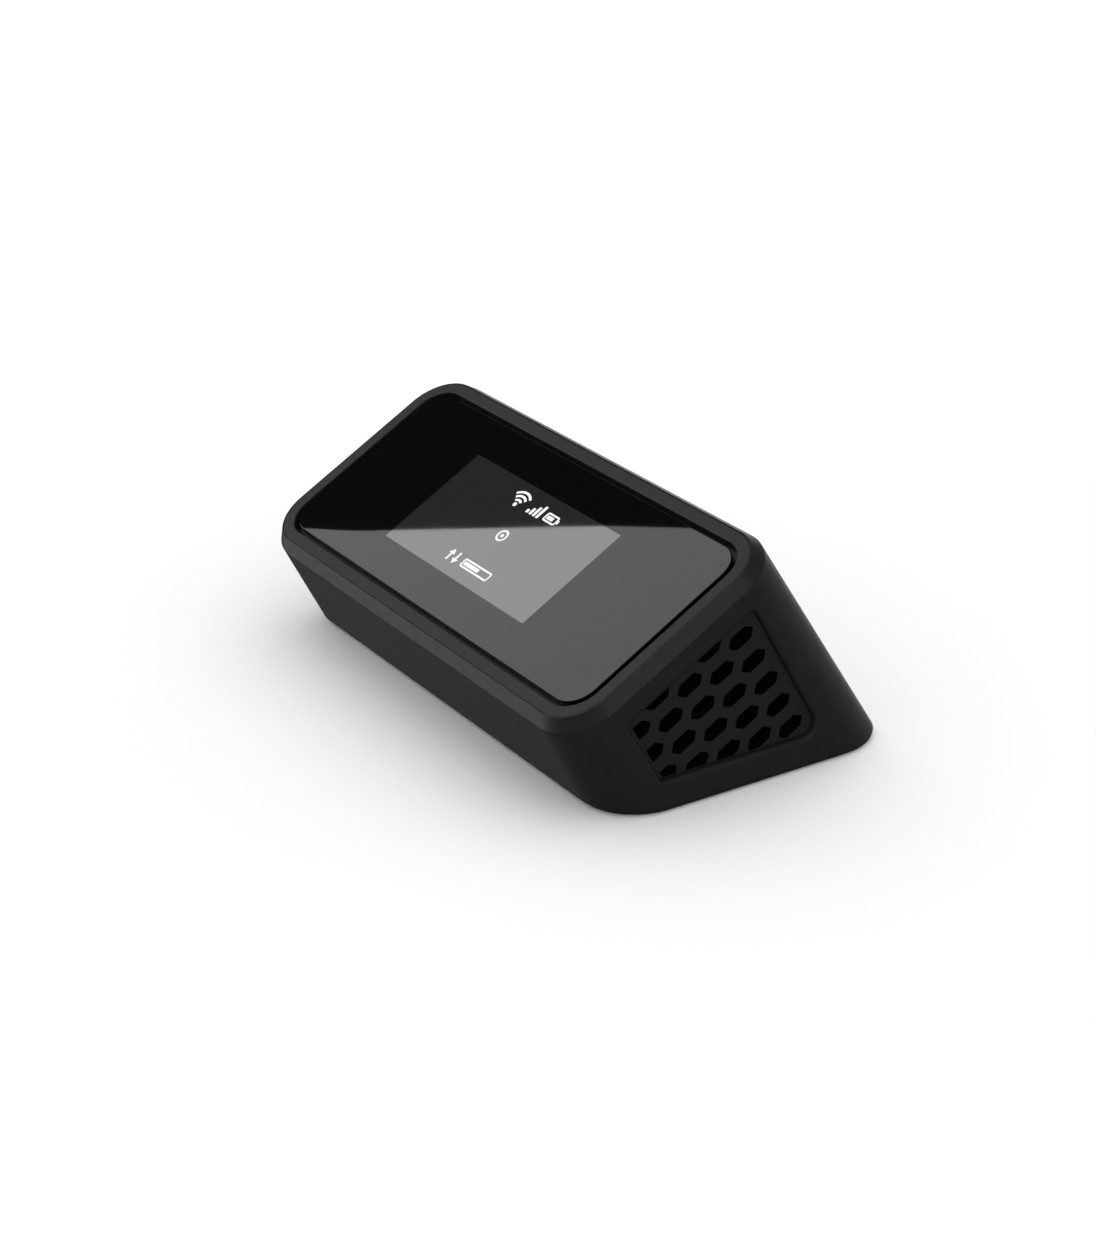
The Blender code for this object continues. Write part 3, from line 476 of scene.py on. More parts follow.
faceOverlap = 0.012             # cutters come out of a face by this much, so that no two faces coincide


def depthAt(y, height):
    return (height - panelHeight - y * math.sin(slope)) / math.cos(slope)


def pocketCorners():
    front, rear, top, bottom = vent["front"], vent["rear"], vent["top"], vent["bottomHeight"]
    return [(front, depthAt(front, bottom)), (rear, depthAt(rear, bottom)), (rear, top), (front, top)]


def pocketOutline(level, upright):
    return roundCorners(moveEdges(pocketCorners(), [level, upright, level, upright]),
                        [max(0.3, radius - level) for radius in vent["radii"]])


# How far a cutter has widened at each depth below a face, as it comes out of it.
def flare(radius, steps=5):
    turns = [math.pi / 2 * step / steps for step in range(steps + 1)]
    return [(radius * (1 - math.sin(t)) - faceOverlap, radius * (1 - math.cos(t))) for t in turns]


def placeSide(piece, side):
    if side < 0:
        piece.data.transform(Matrix.Diagonal((-1, 1, 1, 1)))
        piece.data.flip_normals()
    piece.data.transform(panelPlace)


def flaredAlongX(name, outlineAt, start, face, radius):
    rings = [[(start, a, b) for a, b in outlineAt(0.0)]]
    for below, grow in flare(radius):
        rings.append([(face - below, a, b) for a, b in outlineAt(grow)])
    rings.append([(face + 2.0, a, b) for a, b in outlineAt(radius)])
    return skinRings(name, rings, place=Matrix.Identity(4))


def ventTree():
    tree, given = makeTree("ventHoles", [
        ("Punch", "Object"), ("Window", "Object"), ("Columns", "Int"), ("Rows", "Int"),
        ("Column Pitch", "Float"), ("Row Pitch", "Float"), ("First Column", "Float"), ("First Row", "Float"),
        ("Slope", "Float"), ("Lowest", "Float"), ("Material", "Material")])
    calc = calculator(tree)
    count = calc("MULTIPLY", given["Columns"], given["Rows"])
    spots = addNode(tree, "GeometryNodePoints", links={"Count": count})
    index = addNode(tree, "GeometryNodeInputIndex").outputs[0]
    column = calc("FLOOR", calc("DIVIDE", index, given["Rows"]))
    row = calc("SUBTRACT", index, calc("MULTIPLY", column, given["Rows"]))
    across = calc("SUBTRACT", given["First Column"], calc("MULTIPLY", column, given["Column Pitch"]))
    lift = calc("MULTIPLY", calc("MODULO", column, 2.0), 0.5)
    fall = calc("MULTIPLY", calc("SUBTRACT", row, lift), given["Row Pitch"])
    down = calc("SUBTRACT", given["First Row"], fall)
    where = addNode(tree, "ShaderNodeCombineXYZ", links={1: across, 2: down})
    laid = addNode(tree, "GeometryNodeSetPosition", links={"Geometry": spots.outputs[0],
                                                           "Position": where.outputs[0]})
    height = calc("ADD", calc("MULTIPLY", across, calc("SINE", given["Slope"])),
                  calc("MULTIPLY", down, calc("COSINE", given["Slope"])))
    low = addNode(tree, "FunctionNodeCompare", {"operation": "LESS_THAN"}, {0: height, 1: given["Lowest"]})
    kept = addNode(tree, "GeometryNodeDeleteGeometry", {"domain": "POINT"},
                   {"Geometry": laid.outputs[0], "Selection": low.outputs[0]})
    punch = addNode(tree, "GeometryNodeObjectInfo", links={"Object": given["Punch"]})
    window = addNode(tree, "GeometryNodeObjectInfo", links={"Object": given["Window"]})
    stamped = addNode(tree, "GeometryNodeInstanceOnPoints", links={"Points": kept.outputs[0],
                                                                   "Instance": punch.outputs["Geometry"]})
    loose = addNode(tree, "GeometryNodeRealizeInstances", links={"Geometry": stamped.outputs[0]})
    inside = addNode(tree, "GeometryNodeMeshBoolean", {"operation": "INTERSECT", "solver": "EXACT"})
    tree.links.new(loose.outputs[0], inside.inputs["Mesh 2"])
    tree.links.new(window.outputs["Geometry"], inside.inputs["Mesh 2"])
    pierced = addNode(tree, "GeometryNodeMeshBoolean", {"operation": "DIFFERENCE", "solver": "EXACT"},
                      {"Mesh 1": given["Geometry"], "Mesh 2": inside.outputs[0]})
    return endTree(tree, pierced.outputs[0], given)


def makeGrilles():
    face = body["halfWidth"] - vent["sunk"]
    reach, gap, edge, corner = vent["flangeReach"], vent["gap"], vent["holeEdge"], vent["holeCorner"]
    rings = []
    for x, (level, upright) in ((vent["flangeBack"], reach), (vent["flangeFace"], reach),
                                (vent["flangeFace"], (gap, gap))):
        rings.append([(x, a, b) for a, b in pocketOutline(level, upright)])
    for below, grow in flare(vent["ease"]):
        rings.append([(face - below - faceOverlap, a, b) for a, b in pocketOutline(gap + grow, gap + grow)])
    half, flat, tip = vent["flats"] / 2, vent["flatLength"] / 2, vent["tips"] / 2
    hexagon = [(-tip, 0), (-flat, -half), (flat, -half), (tip, 0), (flat, half), (-flat, half)]

    def holeOutline(grow):
        return roundCorners(moveEdges(hexagon, [-grow] * 6), [corner + grow] * 6, 3)

    def windowOutline(grow):
        clips = [clip - grow for clip in vent["clip"]]
        return roundCorners(moveEdges(pocketCorners(), clips), [corner] * 4, 3)
    punch = flaredAlongX("punch", holeOutline, 50.0, face, edge)
    window = flaredAlongX("window", windowOutline, 49.0, face, edge)
    tree = ventTree()
    lowest = depthAt(0.0, vent["bottomHeight"]) * math.cos(slope) + vent["clip"][0] - 0.05
    values = {"Punch": punch, "Window": window, "Columns": vent["columns"], "Rows": vent["rows"],
              "Column Pitch": vent["columnPitch"], "Row Pitch": vent["rowPitch"],
              "First Column": vent["firstColumn"], "First Row": vent["firstRow"], "Slope": slope,
              "Lowest": lowest, "Material": skins["mouldedAbs"]}
    for side, name in ((1, "grilleRight"), (-1, "grilleLeft")):
        piece = skinRings(name, rings, place=Matrix.Identity(4))
        runTree(piece, tree, values)
        placeSide(piece, side)
        evenShading(piece)
        fit(piece, "mouldedAbs", "chassis", "housing_plastic", "grille_right" if side > 0 else "grille_left")
        # the walls of the holes get the same plastic darkened as painted shade
        piece.data.materials.append(skins["holeAbs"])
        for polygon in piece.data.polygons:
            if abs(polygon.normal.x) < 0.5:     # the walls of the holes
                polygon.material_index = 1
    for tool in (punch, window):
        bpy.data.objects.remove(tool, do_unlink=True)


casing = {
    "lipInset": 1.75,               # inner face of the thin lip round the rim
    "ridge": 0.2, "shoulder": 0.3, "lowerEdge": 0.4,    # fillets from the rim down
    "flangeInset": 4.2, "flangeTop": -3.3, "flangeBottom": -4.8,
    "bossX": 48.0, "bossFront": 7.6, "bossRear": 10.9, "bossRadius": 3.0, "bossFoot": 2.9, "bossTop": 10.0,
    "pilotRadius": 1.5, "pilotTop": 9.4,
    "ribHalf": 0.7, "ribFoot": 3.3, "ribTop": 9.5,
    "ribReach": (54.15, 53.15), "ribShift": (-2.05, 0.1),      # of the front ribs and of the rear ones
}
ports = {
    "depth": -19.1, "trayDepth": -19.5,
    "usb": (0.0, 8.9, 3.2), "power": (27.0, 10.0, 4.0), "reset": (15.0, 0.9), "tray": (-27.0, 16.4, 3.6),
    "gap": 0.12, "mouth": 0.16,
}


def deskEnds():
    ring = ringAtHeight(0, body["footEdge"])
    ys = [point.y * math.cos(slope) - point.z * math.sin(slope) for point in ring]
    return min(ys), max(ys)


def bossPlaces():
    front, rear = deskEnds()
    return [(side * casing["bossX"], y) for y in (front + casing["bossFront"], rear - casing["bossRear"])
            for side in (-1, 1)]


# A cutter through the rear wall that widens at the wall's face, which leans.
def rearCutter(name, outlineAt, radius, start=20.0):
    rings = [[(x, start, depth) for x, depth in outlineAt(0.0)]]
    for below, grow in flare(radius):
        rings.append([(x, rearWall(depth) - below, depth) for x, depth in outlineAt(grow)])
    rings.append([(x, rearWall(depth) + 2.0, depth) for x, depth in outlineAt(radius)])
    return skinRings(name, rings)


def trayOutline(grow):
    x, width, height = ports["tray"]
    return roundedBox(x - width / 2 - grow, x + width / 2 + grow, ports["trayDepth"] - height / 2 - grow,
                      ports["trayDepth"] + height / 2 + grow, 0.8 + grow, 8)


def makeHousing():
    foot, wall = body["footEdge"], body["wall"]
    inner, flange = casing["lipInset"], casing["flangeInset"]
    top, bottom = casing["flangeTop"], casing["flangeBottom"]
    piece = skinProfile("housingShell", [
        ("depth", (inner, body["rimTop"]), 0.0),
        ("depth", (body["chamferRun"], body["rimTop"]), casing["ridge"]),
        ("depth", (0.0, body["wallTop"]), casing["shoulder"], (body["chamferRun"], body["rimTop"]),
         (0.0, -20.0)),
        ("height", (0.0, foot), casing["lowerEdge"], (0.0, 9.0), (wall, foot)),
        ("height", (wall, foot), 0.0),
        ("depth", (wall, bottom), 0.0), ("depth", (flange, bottom), 0.0),
        ("depth", (flange, top), 0.0), ("depth", (inner, top), 0.0)])
    bosses = []
    radius, pilot, half = casing["bossRadius"], casing["pilotRadius"], casing["ribHalf"]
    for number, (x, y) in enumerate(bossPlaces()):
        side, row = math.copysign(1, x), number // 2
        reach, y0 = casing["ribReach"][row], y + casing["ribShift"][row]
        bosses += [turnedPiece("boss", [(casing["bossFoot"], radius), (casing["bossTop"], radius)], x, y,
                               deskPlace),
                   boxPiece("rib", sorted((x + side * 0.4, side * reach)), (y0 - half, y0 + half),
                            (casing["ribFoot"], casing["ribTop"]), place=deskPlace)]
    addOn(piece, *bosses)
    tools = [turnedPiece("pilot", [(0, pilot), (casing["pilotTop"], pilot)], x, y, deskPlace)
             for x, y in bossPlaces()]
    for side in (-1, 1):
        tool = flaredAlongX("opening", lambda grow: pocketOutline(-grow, -grow), 50.0, body["halfWidth"],
                            vent["edge"])
        placeSide(tool, side)
        tools.append(tool)
    gap, mouth, depth = ports["gap"], ports["mouth"], ports["depth"]
    for x, width, height in (ports["usb"], ports["power"]):
        tools.append(rearCutter("slot", lambda grow: pillOutline(x, depth, width, height, gap + grow),
                                mouth))
    tools.append(rearCutter("trayMouth", lambda grow: trayOutline(gap + grow), mouth))
    x, radius = ports["reset"]
    tools.append(rearCutter("pinhole", lambda grow: discOutline(x, depth, radius + gap + grow), mouth))
    cutAway(piece, *tools)
    evenShading(piece)
    fit(piece, "mouldedAbs", "chassis", "housing_plastic", "housing")


bezel = {
    "gap": 0.12,                    # between the rim and the lip
    "width": 2.85, "shelf": 8.6, "shelfTop": -2.0, "bottom": -3.0, "outerEdge": 0.06, "innerEdge": 0.22,
    "postX": 48.6, "postY": 16.5, "postRadius": 2.4, "postEnds": (-6.0, -2.4), "pilotRadius": 1.3,
    "pilotEnds": (-7.3, -3.6),
}


def makeBezel():
    rim, outer = body["rimTop"], casing["lipInset"] + bezel["gap"]
    inset, shelf = body["chamferRun"] + bezel["width"], bezel["shelf"]
    top, bottom = bezel["shelfTop"], bezel["bottom"]
    piece = skinProfile("bezelRing", [
        ("depth", (outer, rim), bezel["outerEdge"]), ("depth", (outer, bottom), 0.0),
        ("depth", (shelf, bottom), 0.0), ("depth", (shelf, top), 0.0), ("depth", (inset, top), 0.0),
        ("depth", (inset, rim), bezel["innerEdge"])])
    posts, pilots = [], []
    post = [(z, bezel["postRadius"]) for z in bezel["postEnds"]]
    pilot = [(z, bezel["pilotRadius"]) for z in bezel["pilotEnds"]]
    for x in (-bezel["postX"], bezel["postX"]):
        for y in (-bezel["postY"], bezel["postY"]):
            posts.append(turnedPiece("post", post, x, y))
            pilots.append(turnedPiece("pilot", pilot, x, y))
    addOn(piece, *posts)
    cutAway(piece, *pilots)
    evenShading(piece)
    fit(piece, "smoothAbs", "chassis", "rim_plastic", "bezel_ring")


screen = {
    "window": (-25.9, 24.6, -12.65, 12.65),     # x and y edges of the lit window
    "glassInset": 5.5, "thickness": 1.1, "glassEdge": 0.16,
    "module": (-29.0, 29.0, -16.0, 16.0), "moduleTop": -1.4, "moduleThickness": 1.8,
}


def makeGlass():
    inset, thick = screen["glassInset"], screen["thickness"]
    opening = roundedBox(*screen["window"], 0.3, body["cornerSteps"])
    edge = filletAt((inset, -thick), (inset, 0.0), (inset + 5, 0.0), screen["glassEdge"])
    rings = [[(x, y, -thick) for x, y in opening], ringAtDepth(inset + 0.08, -thick),
             ringAtDepth(inset, -thick + 0.08), *[ringAtDepth(*point) for point in edge],
             [(x, y, 0.0) for x, y in opening]]
    glass = skinRings("coverGlass", rings)
    evenShading(glass, 60)
    fit(glass, "inkedGlass", "chassis", "cover_glass", "cover_glass")
    glass.data.materials.append(skins["litPanel"])
    for face in glass.data.polygons:            # the lit window is the one face on top with many corners
        if len(face.vertices) > 4 and face.normal.dot(panelNormal) > 0.9:
            face.material_index = 1


def makeDisplay():
    x0, x1, y0, y1 = screen["module"]
    top, bottom = screen["moduleTop"], screen["moduleTop"] - screen["moduleThickness"]

    def ring(inset, depth):
        return [(x, y, depth) for x, y in roundedBox(x0 + inset, x1 - inset, y0 + inset, y1 - inset,
                                                     max(0.2, 1.0 - inset), 6)]
    module = skinRings("displayModule", [ring(0.15, bottom), ring(0, bottom + 0.15), ring(0, top - 0.3),
                                         ring(0.1, top - 0.2), ring(0.7, top - 0.2), ring(0.7, top - 0.04),
                                         ring(0.74, top)])
    evenShading(module)
    fit(module, "litPanel", "chassis", "display", "display_module")


signs = {
    "low": 0.004, "thickness": 0.012, "stroke": 0.55,
    "arrowShaft": ((-0.28, -1.4), (0.28, -1.4), (0.28, 0.4), (-0.28, 0.4)),
    "arrowHead": ((-0.95, 0.3), (0.95, 0.3), (0.0, 1.55)),
    "rows": (8.6, 0.25, -8.6),      # where the three rows of signs lie up the slope
    "middle": -0.05,
}


# Wireless arcs, signal bars and a battery, a ring, and arrows with a level bar.
def makeSigns():
    mesh = bmesh.new()
    low, high = signs["low"], signs["low"] + signs["thickness"]

    def stamp(outline):
        rows = [[mesh.verts.new((x, y, z)) for x, y in outline] for z in (low, high)]
        for i in range(len(outline)):
            j = (i + 1) % len(outline)
            mesh.faces.new((rows[0][i], rows[0][j], rows[1][j], rows[1][i]))
        mesh.faces.new(list(reversed(rows[0])))
        mesh.faces.new(rows[1])

    def band(x, y, radius, width, start, end, steps=20):
        angles = [math.radians(start + (end - start) * i / steps) for i in range(steps + 1)]
        inside, outside = [[(x + r * math.cos(a), y + r * math.sin(a)) for a in angles]
                           for r in (radius - width / 2, radius + width / 2)]
        for i in range(steps):
            stamp([inside[i], outside[i], outside[i + 1], inside[i + 1]])

    def frameOf(x0, x1, y0, y1, width):
        outer, inner = roundedBox(x0, x1, y0, y1, 0.5, 4), roundedBox(x0 + width, x1 - width, y0 + width,
                                                                      y1 - width, 0.25, 4)
        for i in range(len(outer)):
            j = (i + 1) % len(outer)
            stamp([outer[i], outer[j], inner[j], inner[i]])
    stroke, middle = signs["stroke"], signs["middle"]
    upper, centre, lower = signs["rows"]
    for radius in (1.35, 2.4, 3.45):
        band(middle - 5.0, upper - 1.5, radius, stroke, 45, 135)
    stamp(discOutline(middle - 5.0, upper - 1.35, 0.5, 20))
    for i in range(4):
        x = middle - 1.0 + 1.15 * i
        stamp(roundedBox(x, x + 0.75, upper - 1.6, upper - 0.7 + 0.78 * i, 0.15, 3))
    frameOf(middle + 4.4, middle + 8.4, upper - 1.3, upper + 0.9, 0.4)
    stamp(roundedBox(middle + 5.05, middle + 7.1, upper - 0.65, upper + 0.25, 0.1, 3))
    stamp(roundedBox(middle + 8.5, middle + 8.9, upper - 0.65, upper + 0.25, 0.1, 3))
    band(middle, centre, 1.25, 0.45, 0, 360, 36)
    stamp(discOutline(middle, centre, 0.42, 20))
    for x, sense in ((middle - 6.6, 1), (middle - 4.4, -1)):
        for part in (signs["arrowShaft"], signs["arrowHead"]):
            stamp([(x + dx, lower + dy * sense) for dx, dy in part][::sense])
    frameOf(middle - 2.2, middle + 7.4, lower - 1.1, lower + 1.1, 0.4)
    stamp(roundedBox(middle - 1.55, middle + 3.6, lower - 0.45, lower + 0.45, 0.1, 3))
    signsPiece = makeObject("screenSigns", mesh)
    fit(signsPiece, "litSign", "chassis", "display")


base = {
    "foot": 0.25, "inset": 0.6, "top": 2.6, "edge": 0.25, "padHalf": (42.0, 20.0), "padCorner": 6.0,
    "padTop": 1.0, "gap": 0.2, "headRadius": 3.3, "throatRadius": 3.1, "shankRadius": 1.5, "seat": 1.2,
}
screws = {"head": 2.7, "shaft": 1.15, "tip": 8.8, "headFace": 0.4}


def makeBase():
    foot, inset, step, gap = base["foot"], base["inset"], body["footEdge"] - 0.12, base["gap"]
    inner, top = body["wall"] + gap, base["top"]
    plate = skinProfile("baseCover", [
        ("height", (inset, foot), base["edge"], (inset + 5, foot), (inset, step)),
        ("height", (inset, step), 0.0), ("height", (inner, step), 0.0),
        ("height", (inner, top), 0.2, (inner, step), (body["wall"] + 5, top))], closed=False)
    middle = sum(deskEnds()) / 2
    halfX, halfY = base["padHalf"]
    tools = [boxPiece("recess", (-halfX - gap, halfX + gap), (middle - halfY - gap, middle + halfY + gap),
                      (-1, foot + 0.8), base["padCorner"] + gap, deskPlace)]
    head, throat, shank = base["headRadius"], base["throatRadius"], base["shankRadius"]
    seat = foot + base["seat"]
    profile = [(-1, head), (foot, head), (foot + 0.2, throat), (seat, throat), (seat, shank), (6, shank)]
    for x, y in bossPlaces():
        tools.append(turnedPiece("counterbore", profile, x, y, deskPlace))
    cutAway(plate, *tools)
    evenShading(plate)
    fit(plate, "mouldedAbs", "chassis", "housing_plastic", "base_cover")

    def padRing(inset, height):
        return [(x, y, height) for x, y in roundedBox(
            -halfX + inset, halfX - inset, middle - halfY + inset, middle + halfY - inset,
            base["padCorner"] - inset, 12)]
    pad = skinRings("footPad", [padRing(0.35, 0.0), padRing(0.1, 0.08), padRing(0.0, 0.3),
                                padRing(0.0, base["padTop"])], place=deskPlace)
    evenShading(pad)
    fit(pad, "padRubber", "chassis", "rubber", "foot_pad")


def makeScrews():
    face, tip, head, shaft = screws["headFace"], screws["tip"], screws["head"], screws["shaft"]
    still = Matrix.Scale(0.001, 4)
    profile = [(face, head - 0.35), (face + 0.1, head - 0.12), (face + 0.35, head), (face + 1.0, head),
               (face + 1.0, shaft)]
    z = face + 1.3
    while z < tip - 0.9:                    # thread ridges
        profile += [(z, shaft), (z + 0.2, shaft + 0.22), (z + 0.4, shaft)]
        z += 0.6
    profile += [(tip, shaft * 0.5)]
    pattern = turnedPiece("screwPattern", profile, 0, 0, still, 24)
    arm, width = head * 0.6, 0.32
    cutAway(pattern, boxPiece("armA", (-arm, arm), (-width, width), (face - 1, face + 0.7), place=still),
            boxPiece("armB", (-width, width), (-arm, arm), (face - 1, face + 0.7), place=still))
    evenShading(pattern)
    tree, given = makeTree("screwsOnPoints", [("Screw", "Object"), ("Twist", "Float"),
                                              ("Material", "Material")])
    source = addNode(tree, "GeometryNodeObjectInfo", links={"Object": given["Screw"]})
    index = addNode(tree, "GeometryNodeInputIndex").outputs[0]
    angle = calculator(tree)("MULTIPLY", index, given["Twist"])
    turn = addNode(tree, "ShaderNodeCombineXYZ", links={2: angle}).outputs[0]
    stamped = addNode(tree, "GeometryNodeInstanceOnPoints", links={
        "Points": given["Geometry"], "Instance": source.outputs["Geometry"], "Rotation": turn})
    endTree(tree, stamped.outputs[0], given)
    mesh = bmesh.new()
    for x, y in bossPlaces():
        mesh.verts.new((x, y, 0.0))
    piece = makeObject("baseScrews", mesh, deskPlace)
    runTree(piece, tree, {"Screw": pattern, "Twist": 0.7, "Material": skins["blackZinc"]})
    bpy.data.objects.remove(pattern, do_unlink=True)
    fit(piece, "blackZinc", "chassis", "screw_steel", *[f"base_screw_{i}" for i in range(1, 5)])


usb = {
    "wall": 0.35, "back": 19.4, "sunk": 0.5, "edge": 0.07, "floor": 1.6,
    "tongueHalf": (3.35, 0.35), "tongueEnds": (1.0, 0.9),     # from the back and from the mouth
    "contacts": 12, "pitch": 0.5, "contactSize": (0.26, 2.9, 0.05), "contactLift": 0.36, "contactInset": 2.7,
}


def makeUsb():
    x, width, height = ports["usb"]
    depth, wall, back = ports["depth"], usb["wall"], usb["back"]
    front = rearWall(depth) - usb["sunk"]
    halfX, halfZ = usb["tongueHalf"]
    start, end = back + usb["tongueEnds"][0], front - usb["tongueEnds"][1]
    shell = extrude("usbSocket", pillOutline(x, depth, width, height), "y", back, front)
    bore = pillOutline(x, depth, width, height, -wall)
    cutAway(shell, extrude("bore", bore, "y", back + usb["floor"], front + 2))
    addOn(shell, boxPiece("tongue", (-halfX, halfX), (start, end), (depth - halfZ, depth + halfZ)))
    easeEdges(shell, usb["edge"])
    evenShading(shell)
    fit(shell, "tinnedSteel", "chassis", "sheet_steel", "usb_c_socket")
    tree, given = makeTree("contactRow", [("Count", "Int"), ("Pitch", "Float"), ("Size", "Vector"),
                                          ("Material", "Material")])
    span = addNode(tree, "ShaderNodeCombineXYZ", links={0: given["Pitch"]}).outputs[0]
    row = addNode(tree, "GeometryNodeMeshLine", links={"Count": given["Count"], "Offset": span})
    strip = addNode(tree, "GeometryNodeMeshCube", links={"Size": given["Size"]})
    joined = addNode(tree, "GeometryNodeInstanceOnPoints", links={"Points": row.outputs[0],
                                                                  "Instance": strip.outputs[0]})
    endTree(tree, joined.outputs[0], given)
    piece = makeObject("usbContacts", bmesh.new())
    runTree(piece, tree, {"Count": usb["contacts"], "Pitch": usb["pitch"], "Size": usb["contactSize"],
                          "Material": skins["goldFlash"]})
    firstX = -usb["pitch"] * (usb["contacts"] - 1) / 2
    mesh = bmesh.new()
    for z in (depth - usb["contactLift"], depth + usb["contactLift"]):
        copy = piece.data.copy()
        copy.transform(Matrix.Translation((firstX, front - usb["contactInset"], z)))
        mesh.from_mesh(copy)
    bpy.data.objects.remove(piece, do_unlink=True)
    piece = makeObject("usbContacts", mesh)
    evenShading(piece)
    fit(piece, "goldFlash", "chassis", "sheet_steel")


# A cap whose outer face follows the rear wall, with an eased edge.
def leaningCap(name, outline, back, proud, ease):
    rings = [[(x, back, depth) for x, depth in outline(0.0)]]
    for below, grow in flare(ease):
        lift = proud - below - faceOverlap
        rings.append([(x, rearWall(depth) + lift, depth) for x, depth in outline(-grow)])
    return skinRings(name, rings)


keys = {
    "capBack": 24.0, "proud": 0.8, "edge": 0.3, "flange": (2.4, 2.0), "flangeEnds": (23.0, 24.5),
    "stemHalf": (1.5, 0.8), "stemEnds": (22.0, 23.5),
    "resetBack": 22.0, "resetSunk": 0.9, "resetFlange": 2.0, "resetFlangeEnds": (23.2, 24.5),
    "resetEdge": 0.1,
}


def makeKeys():
    x, width, height = ports["power"]
    depth = ports["depth"]
    key = leaningCap("powerButton", lambda grow: pillOutline(x, depth, width, height, grow), keys["capBack"],
                     keys["proud"], keys["edge"])
    wider, taller = keys["flange"]
    halfX, halfZ = keys["stemHalf"]
    flange = pillOutline(x, depth, width + wider, height + taller)
    addOn(key, extrude("keyFlange", flange, "y", *keys["flangeEnds"]),
          boxPiece("keyStem", (x - halfX, x + halfX), keys["stemEnds"], (depth - halfZ, depth + halfZ)))
    evenShading(key)
    fit(key, "smoothAbs", "power_key", "rim_plastic", "power_button")
    x, radius = ports["reset"]
    plunger = extrude("resetButton", discOutline(x, depth, radius), "y", keys["resetBack"],
                      rearWall(depth) - keys["resetSunk"])
    flange = discOutline(x, depth, keys["resetFlange"])
    addOn(plunger, extrude("resetFlange", flange, "y", *keys["resetFlangeEnds"]))
    easeEdges(plunger, keys["resetEdge"])
    evenShading(plunger)
    fit(plunger, "smoothAbs", "reset_key", "rim_plastic", "reset_button")


trayValues = {
    "capBack": 24.6, "capEdge": 0.12, "plateHalf": (7.5, 0.8), "plateEnds": (4.6, 24.9),
    "cardHalf": 4.7, "cardEnds": (6.3, 19.2), "cardDepth": 1.15, "cardCorner": 0.6,
    "grooveHalf": (4.0, 0.5), "grooveCorner": 0.45, "grooveDepth": 0.7, "edge": 0.08,
}


def makeTray():
    x, depth = ports["tray"][0], ports["trayDepth"]
    halfX, halfZ = trayValues["plateHalf"]
    top, bottom = depth + halfZ, depth - halfZ
    tray = leaningCap("simTray", trayOutline, trayValues["capBack"], 0.0, trayValues["capEdge"])
    addOn(tray, boxPiece("trayPlate", (x - halfX, x + halfX), trayValues["plateEnds"], (bottom, top)))
    card, (grooveX, grooveZ) = trayValues["cardHalf"], trayValues["grooveHalf"]
    groove = roundedBox(x - grooveX, x + grooveX, depth - grooveZ, depth + grooveZ,
                        trayValues["grooveCorner"], 6)
    cutAway(tray, boxPiece("cardPocket", (x - card, x + card), trayValues["cardEnds"],
                           (top - trayValues["cardDepth"], top + 1), trayValues["cardCorner"]),
            extrude("nailGroove", groove, "y", rearWall(depth) - trayValues["grooveDepth"], 32))
    easeEdges(tray, trayValues["edge"], 50)
    evenShading(tray)
    fit(tray, "mouldedAbs", "tray", "housing_plastic", "sim_tray")


makeHousing()
makeBezel()
makeGrilles()
makeGlass()
makeDisplay()
makeSigns()
makeBase()
makeScrews()
makeUsb()
makeKeys()
makeTray()

innerSkins = {
    "glass_adhesive": "blackTape", "display_backplate": "tinnedSteel", "display_foam": "openFoam",
    "display_flex": "amberFilm", "flex_connector": "mouldingEpoxy", "dust_screen": "screenCloth",
    "mid_frame": "castMagnesium", "mid_frame_screw": "blackZinc", "battery_pack": "cellWrap",
    "battery_connector": "mouldingEpoxy", "battery_lead": "redPvc", "main_board": "solderMask",
    "board_screw": "blackZinc", "wifi_shield": "tinnedSteel", "power_shield": "tinnedSteel",
    "modem_module": "mouldingEpoxy", "thermal_pad": "gapFiller", "heatsink": "drawnAluminium",
    "heatsink_screw": "blackZinc", "sim_socket": "tinnedSteel", "sim_card": "cardPvc",
    "power_switch": "mouldingEpoxy", "reset_switch": "mouldingEpoxy", "antenna": "amberFilm",
    "coax": "blackPvc",
}
for name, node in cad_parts.items():
    if node.hide_render:
        continue
    key = max((key for key in innerSkins if name.startswith(key)), key=len)
    for entry in node.material_slots:
        entry.material = skins[innerSkins[key]]
print("inner parts finished")

studio = {
    "floorColour": "#f4f4f4",
    "dome": 1.15,                       # light that the dull surfaces and the floor get
    "room": 0.038,                      # what gloss sees between the cards
    "lens": 79.06,
    "standOff": (408.67, -254.85, 199.92),      # camera from the middle of the glass, millimetres
    "right": (0.54486, 0.83853, 0.0),           # the camera's axes
    "up": (-0.34423, 0.22367, 0.91186),
    "back": (0.76462, -0.49683, 0.41051),
}
# Cards that gloss sees: direction, half-angle in degrees, softness of the edge from 0 to 1, brightness,
# and for a card that is cut straight, the direction in which it lies from the cut
cards = (
    ((-0.74, -0.30, 0.60), 44, 0.35, 1.62, (0.3293, -0.8962, 0.2971)),
    ((-0.765, -0.532, -0.363), 30, 0.9, 0.95, None),
    ((0.869, -0.027, 0.495), 30, 0.9, 0.7, None),
    ((-0.765, 0.622, -0.169), 30, 0.9, 1.2, None),
    ((-0.76, 0.107, -0.635), 35, 0.9, 0.06, None),
    ((-0.25, 0.95, -0.15), 45, 0.9, 0.25, None),
)


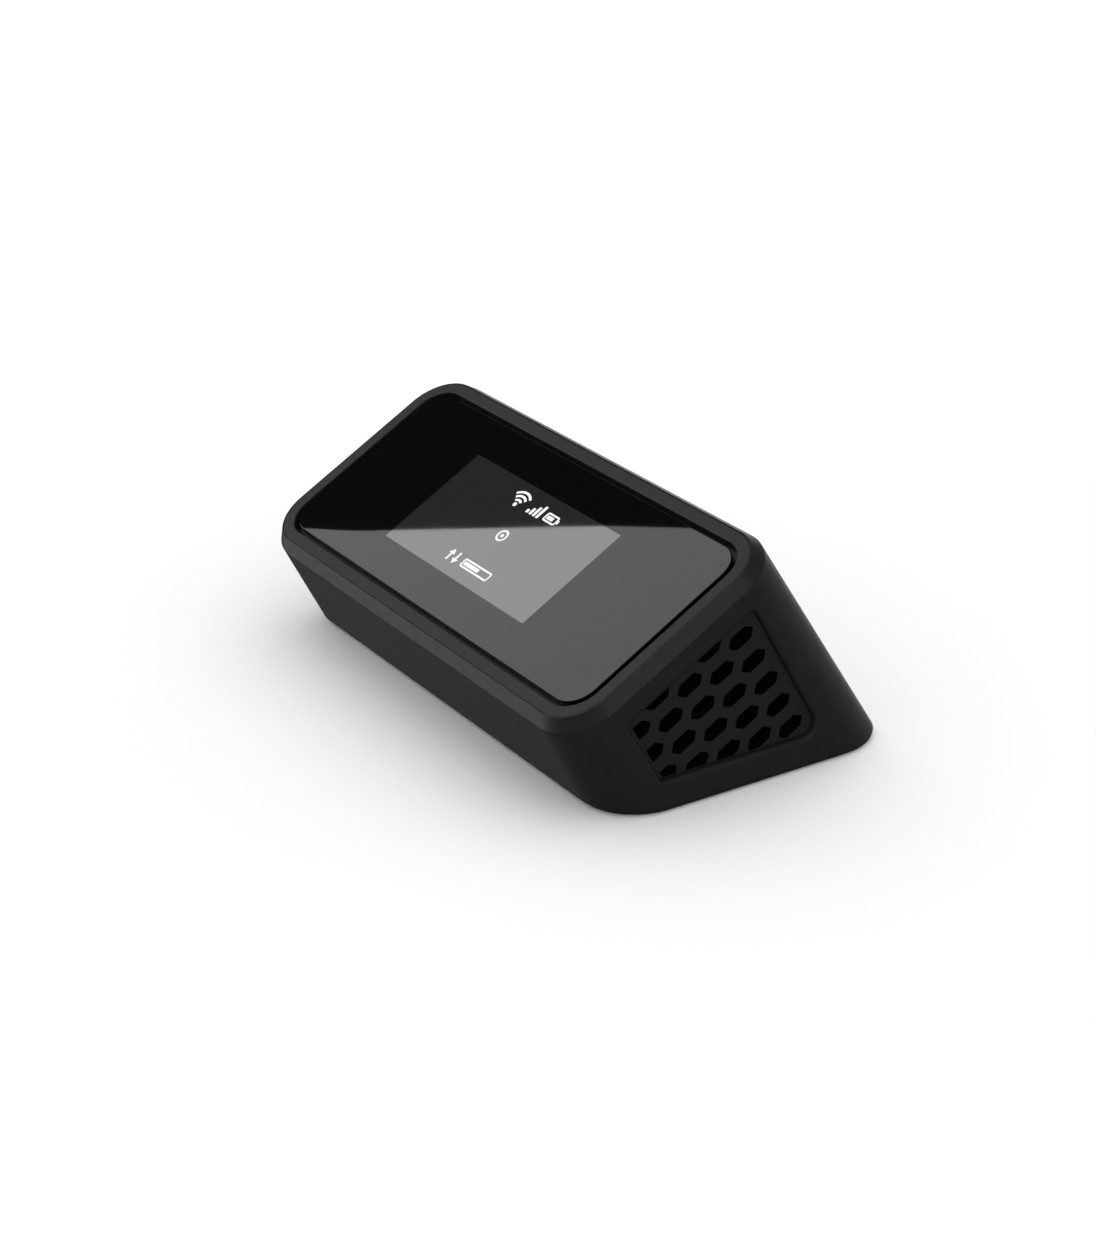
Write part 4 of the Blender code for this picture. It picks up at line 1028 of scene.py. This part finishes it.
def makeStudio():
    mesh = bmesh.new()
    bmesh.ops.create_grid(mesh, x_segments=2, y_segments=2, size=4.0)
    data = bpy.data.meshes.new("floor")
    mesh.to_mesh(data)
    mesh.free()
    floor = bpy.data.objects.new("floor", data)
    bpy.context.scene.collection.objects.link(floor)
    material = bpy.data.materials.new("paper")
    material.use_nodes = True
    shader = material.node_tree.nodes["Principled BSDF"]
    shader.inputs["Base Color"].default_value = linear(studio["floorColour"])
    shader.inputs["Roughness"].default_value = 1.0
    shader.inputs["IOR"].default_value = 1.0
    data.materials.append(material)
    floor.visible_glossy = False
    world = bpy.data.worlds.new("studio")
    bpy.context.scene.world = world
    world.use_nodes = True
    world.cycles.sampling_method = "NONE"
    tree = world.node_tree
    tree.nodes.clear()
    towards = addNode(tree, "ShaderNodeTexCoord").outputs["Generated"]
    calc = calculator(tree)
    total = calc("ADD", studio["room"], 0.0)
    for direction, half, soft, level, edge in cards:
        unit = Vector(direction).normalized()
        facing = addNode(tree, "ShaderNodeVectorMath", {"operation": "DOT_PRODUCT", 1: unit}, {0: towards})
        rim = math.cos(math.radians(half))
        core = math.cos(math.radians(half * (1 - soft)))
        card = addNode(tree, "ShaderNodeMapRange", {"interpolation_type": "SMOOTHSTEP", "From Min": rim,
                                                    "From Max": core + 1e-4, "To Max": level},
                       {"Value": facing.outputs["Value"]}).outputs[0]
        if edge:
            side = addNode(tree, "ShaderNodeVectorMath", {"operation": "DOT_PRODUCT", 1: edge}, {0: towards})
            card = calc("MULTIPLY", card, calc("GREATER_THAN", side.outputs["Value"], 0.0))
        total = calc("ADD", total, card)
    gloss = addNode(tree, "ShaderNodeLightPath").outputs["Is Glossy Ray"]
    shine = addNode(tree, "ShaderNodeMix", {"data_type": "FLOAT", 2: studio["dome"]}, {0: gloss, 3: total})
    sky = addNode(tree, "ShaderNodeBackground", {"Color": (1.0, 1.0, 1.0, 1.0)},
                  {"Strength": shine.outputs[0]})
    tree.links.new(sky.outputs[0], addNode(tree, "ShaderNodeOutputWorld").inputs[0])
    camera = bpy.data.objects.new("camera", bpy.data.cameras.new("camera"))
    bpy.context.scene.collection.objects.link(camera)
    camera.data.lens = studio["lens"]
    camera.data.sensor_width = 36.0
    axes = Matrix((studio["right"], studio["up"], studio["back"])).transposed()
    place = glassMiddle + Vector(studio["standOff"]) * 0.001
    camera.matrix_world = Matrix.Translation(place) @ axes.to_4x4()
    bpy.context.scene.camera = camera
    bpy.context.scene.view_settings.view_transform = "Standard"


makeStudio()
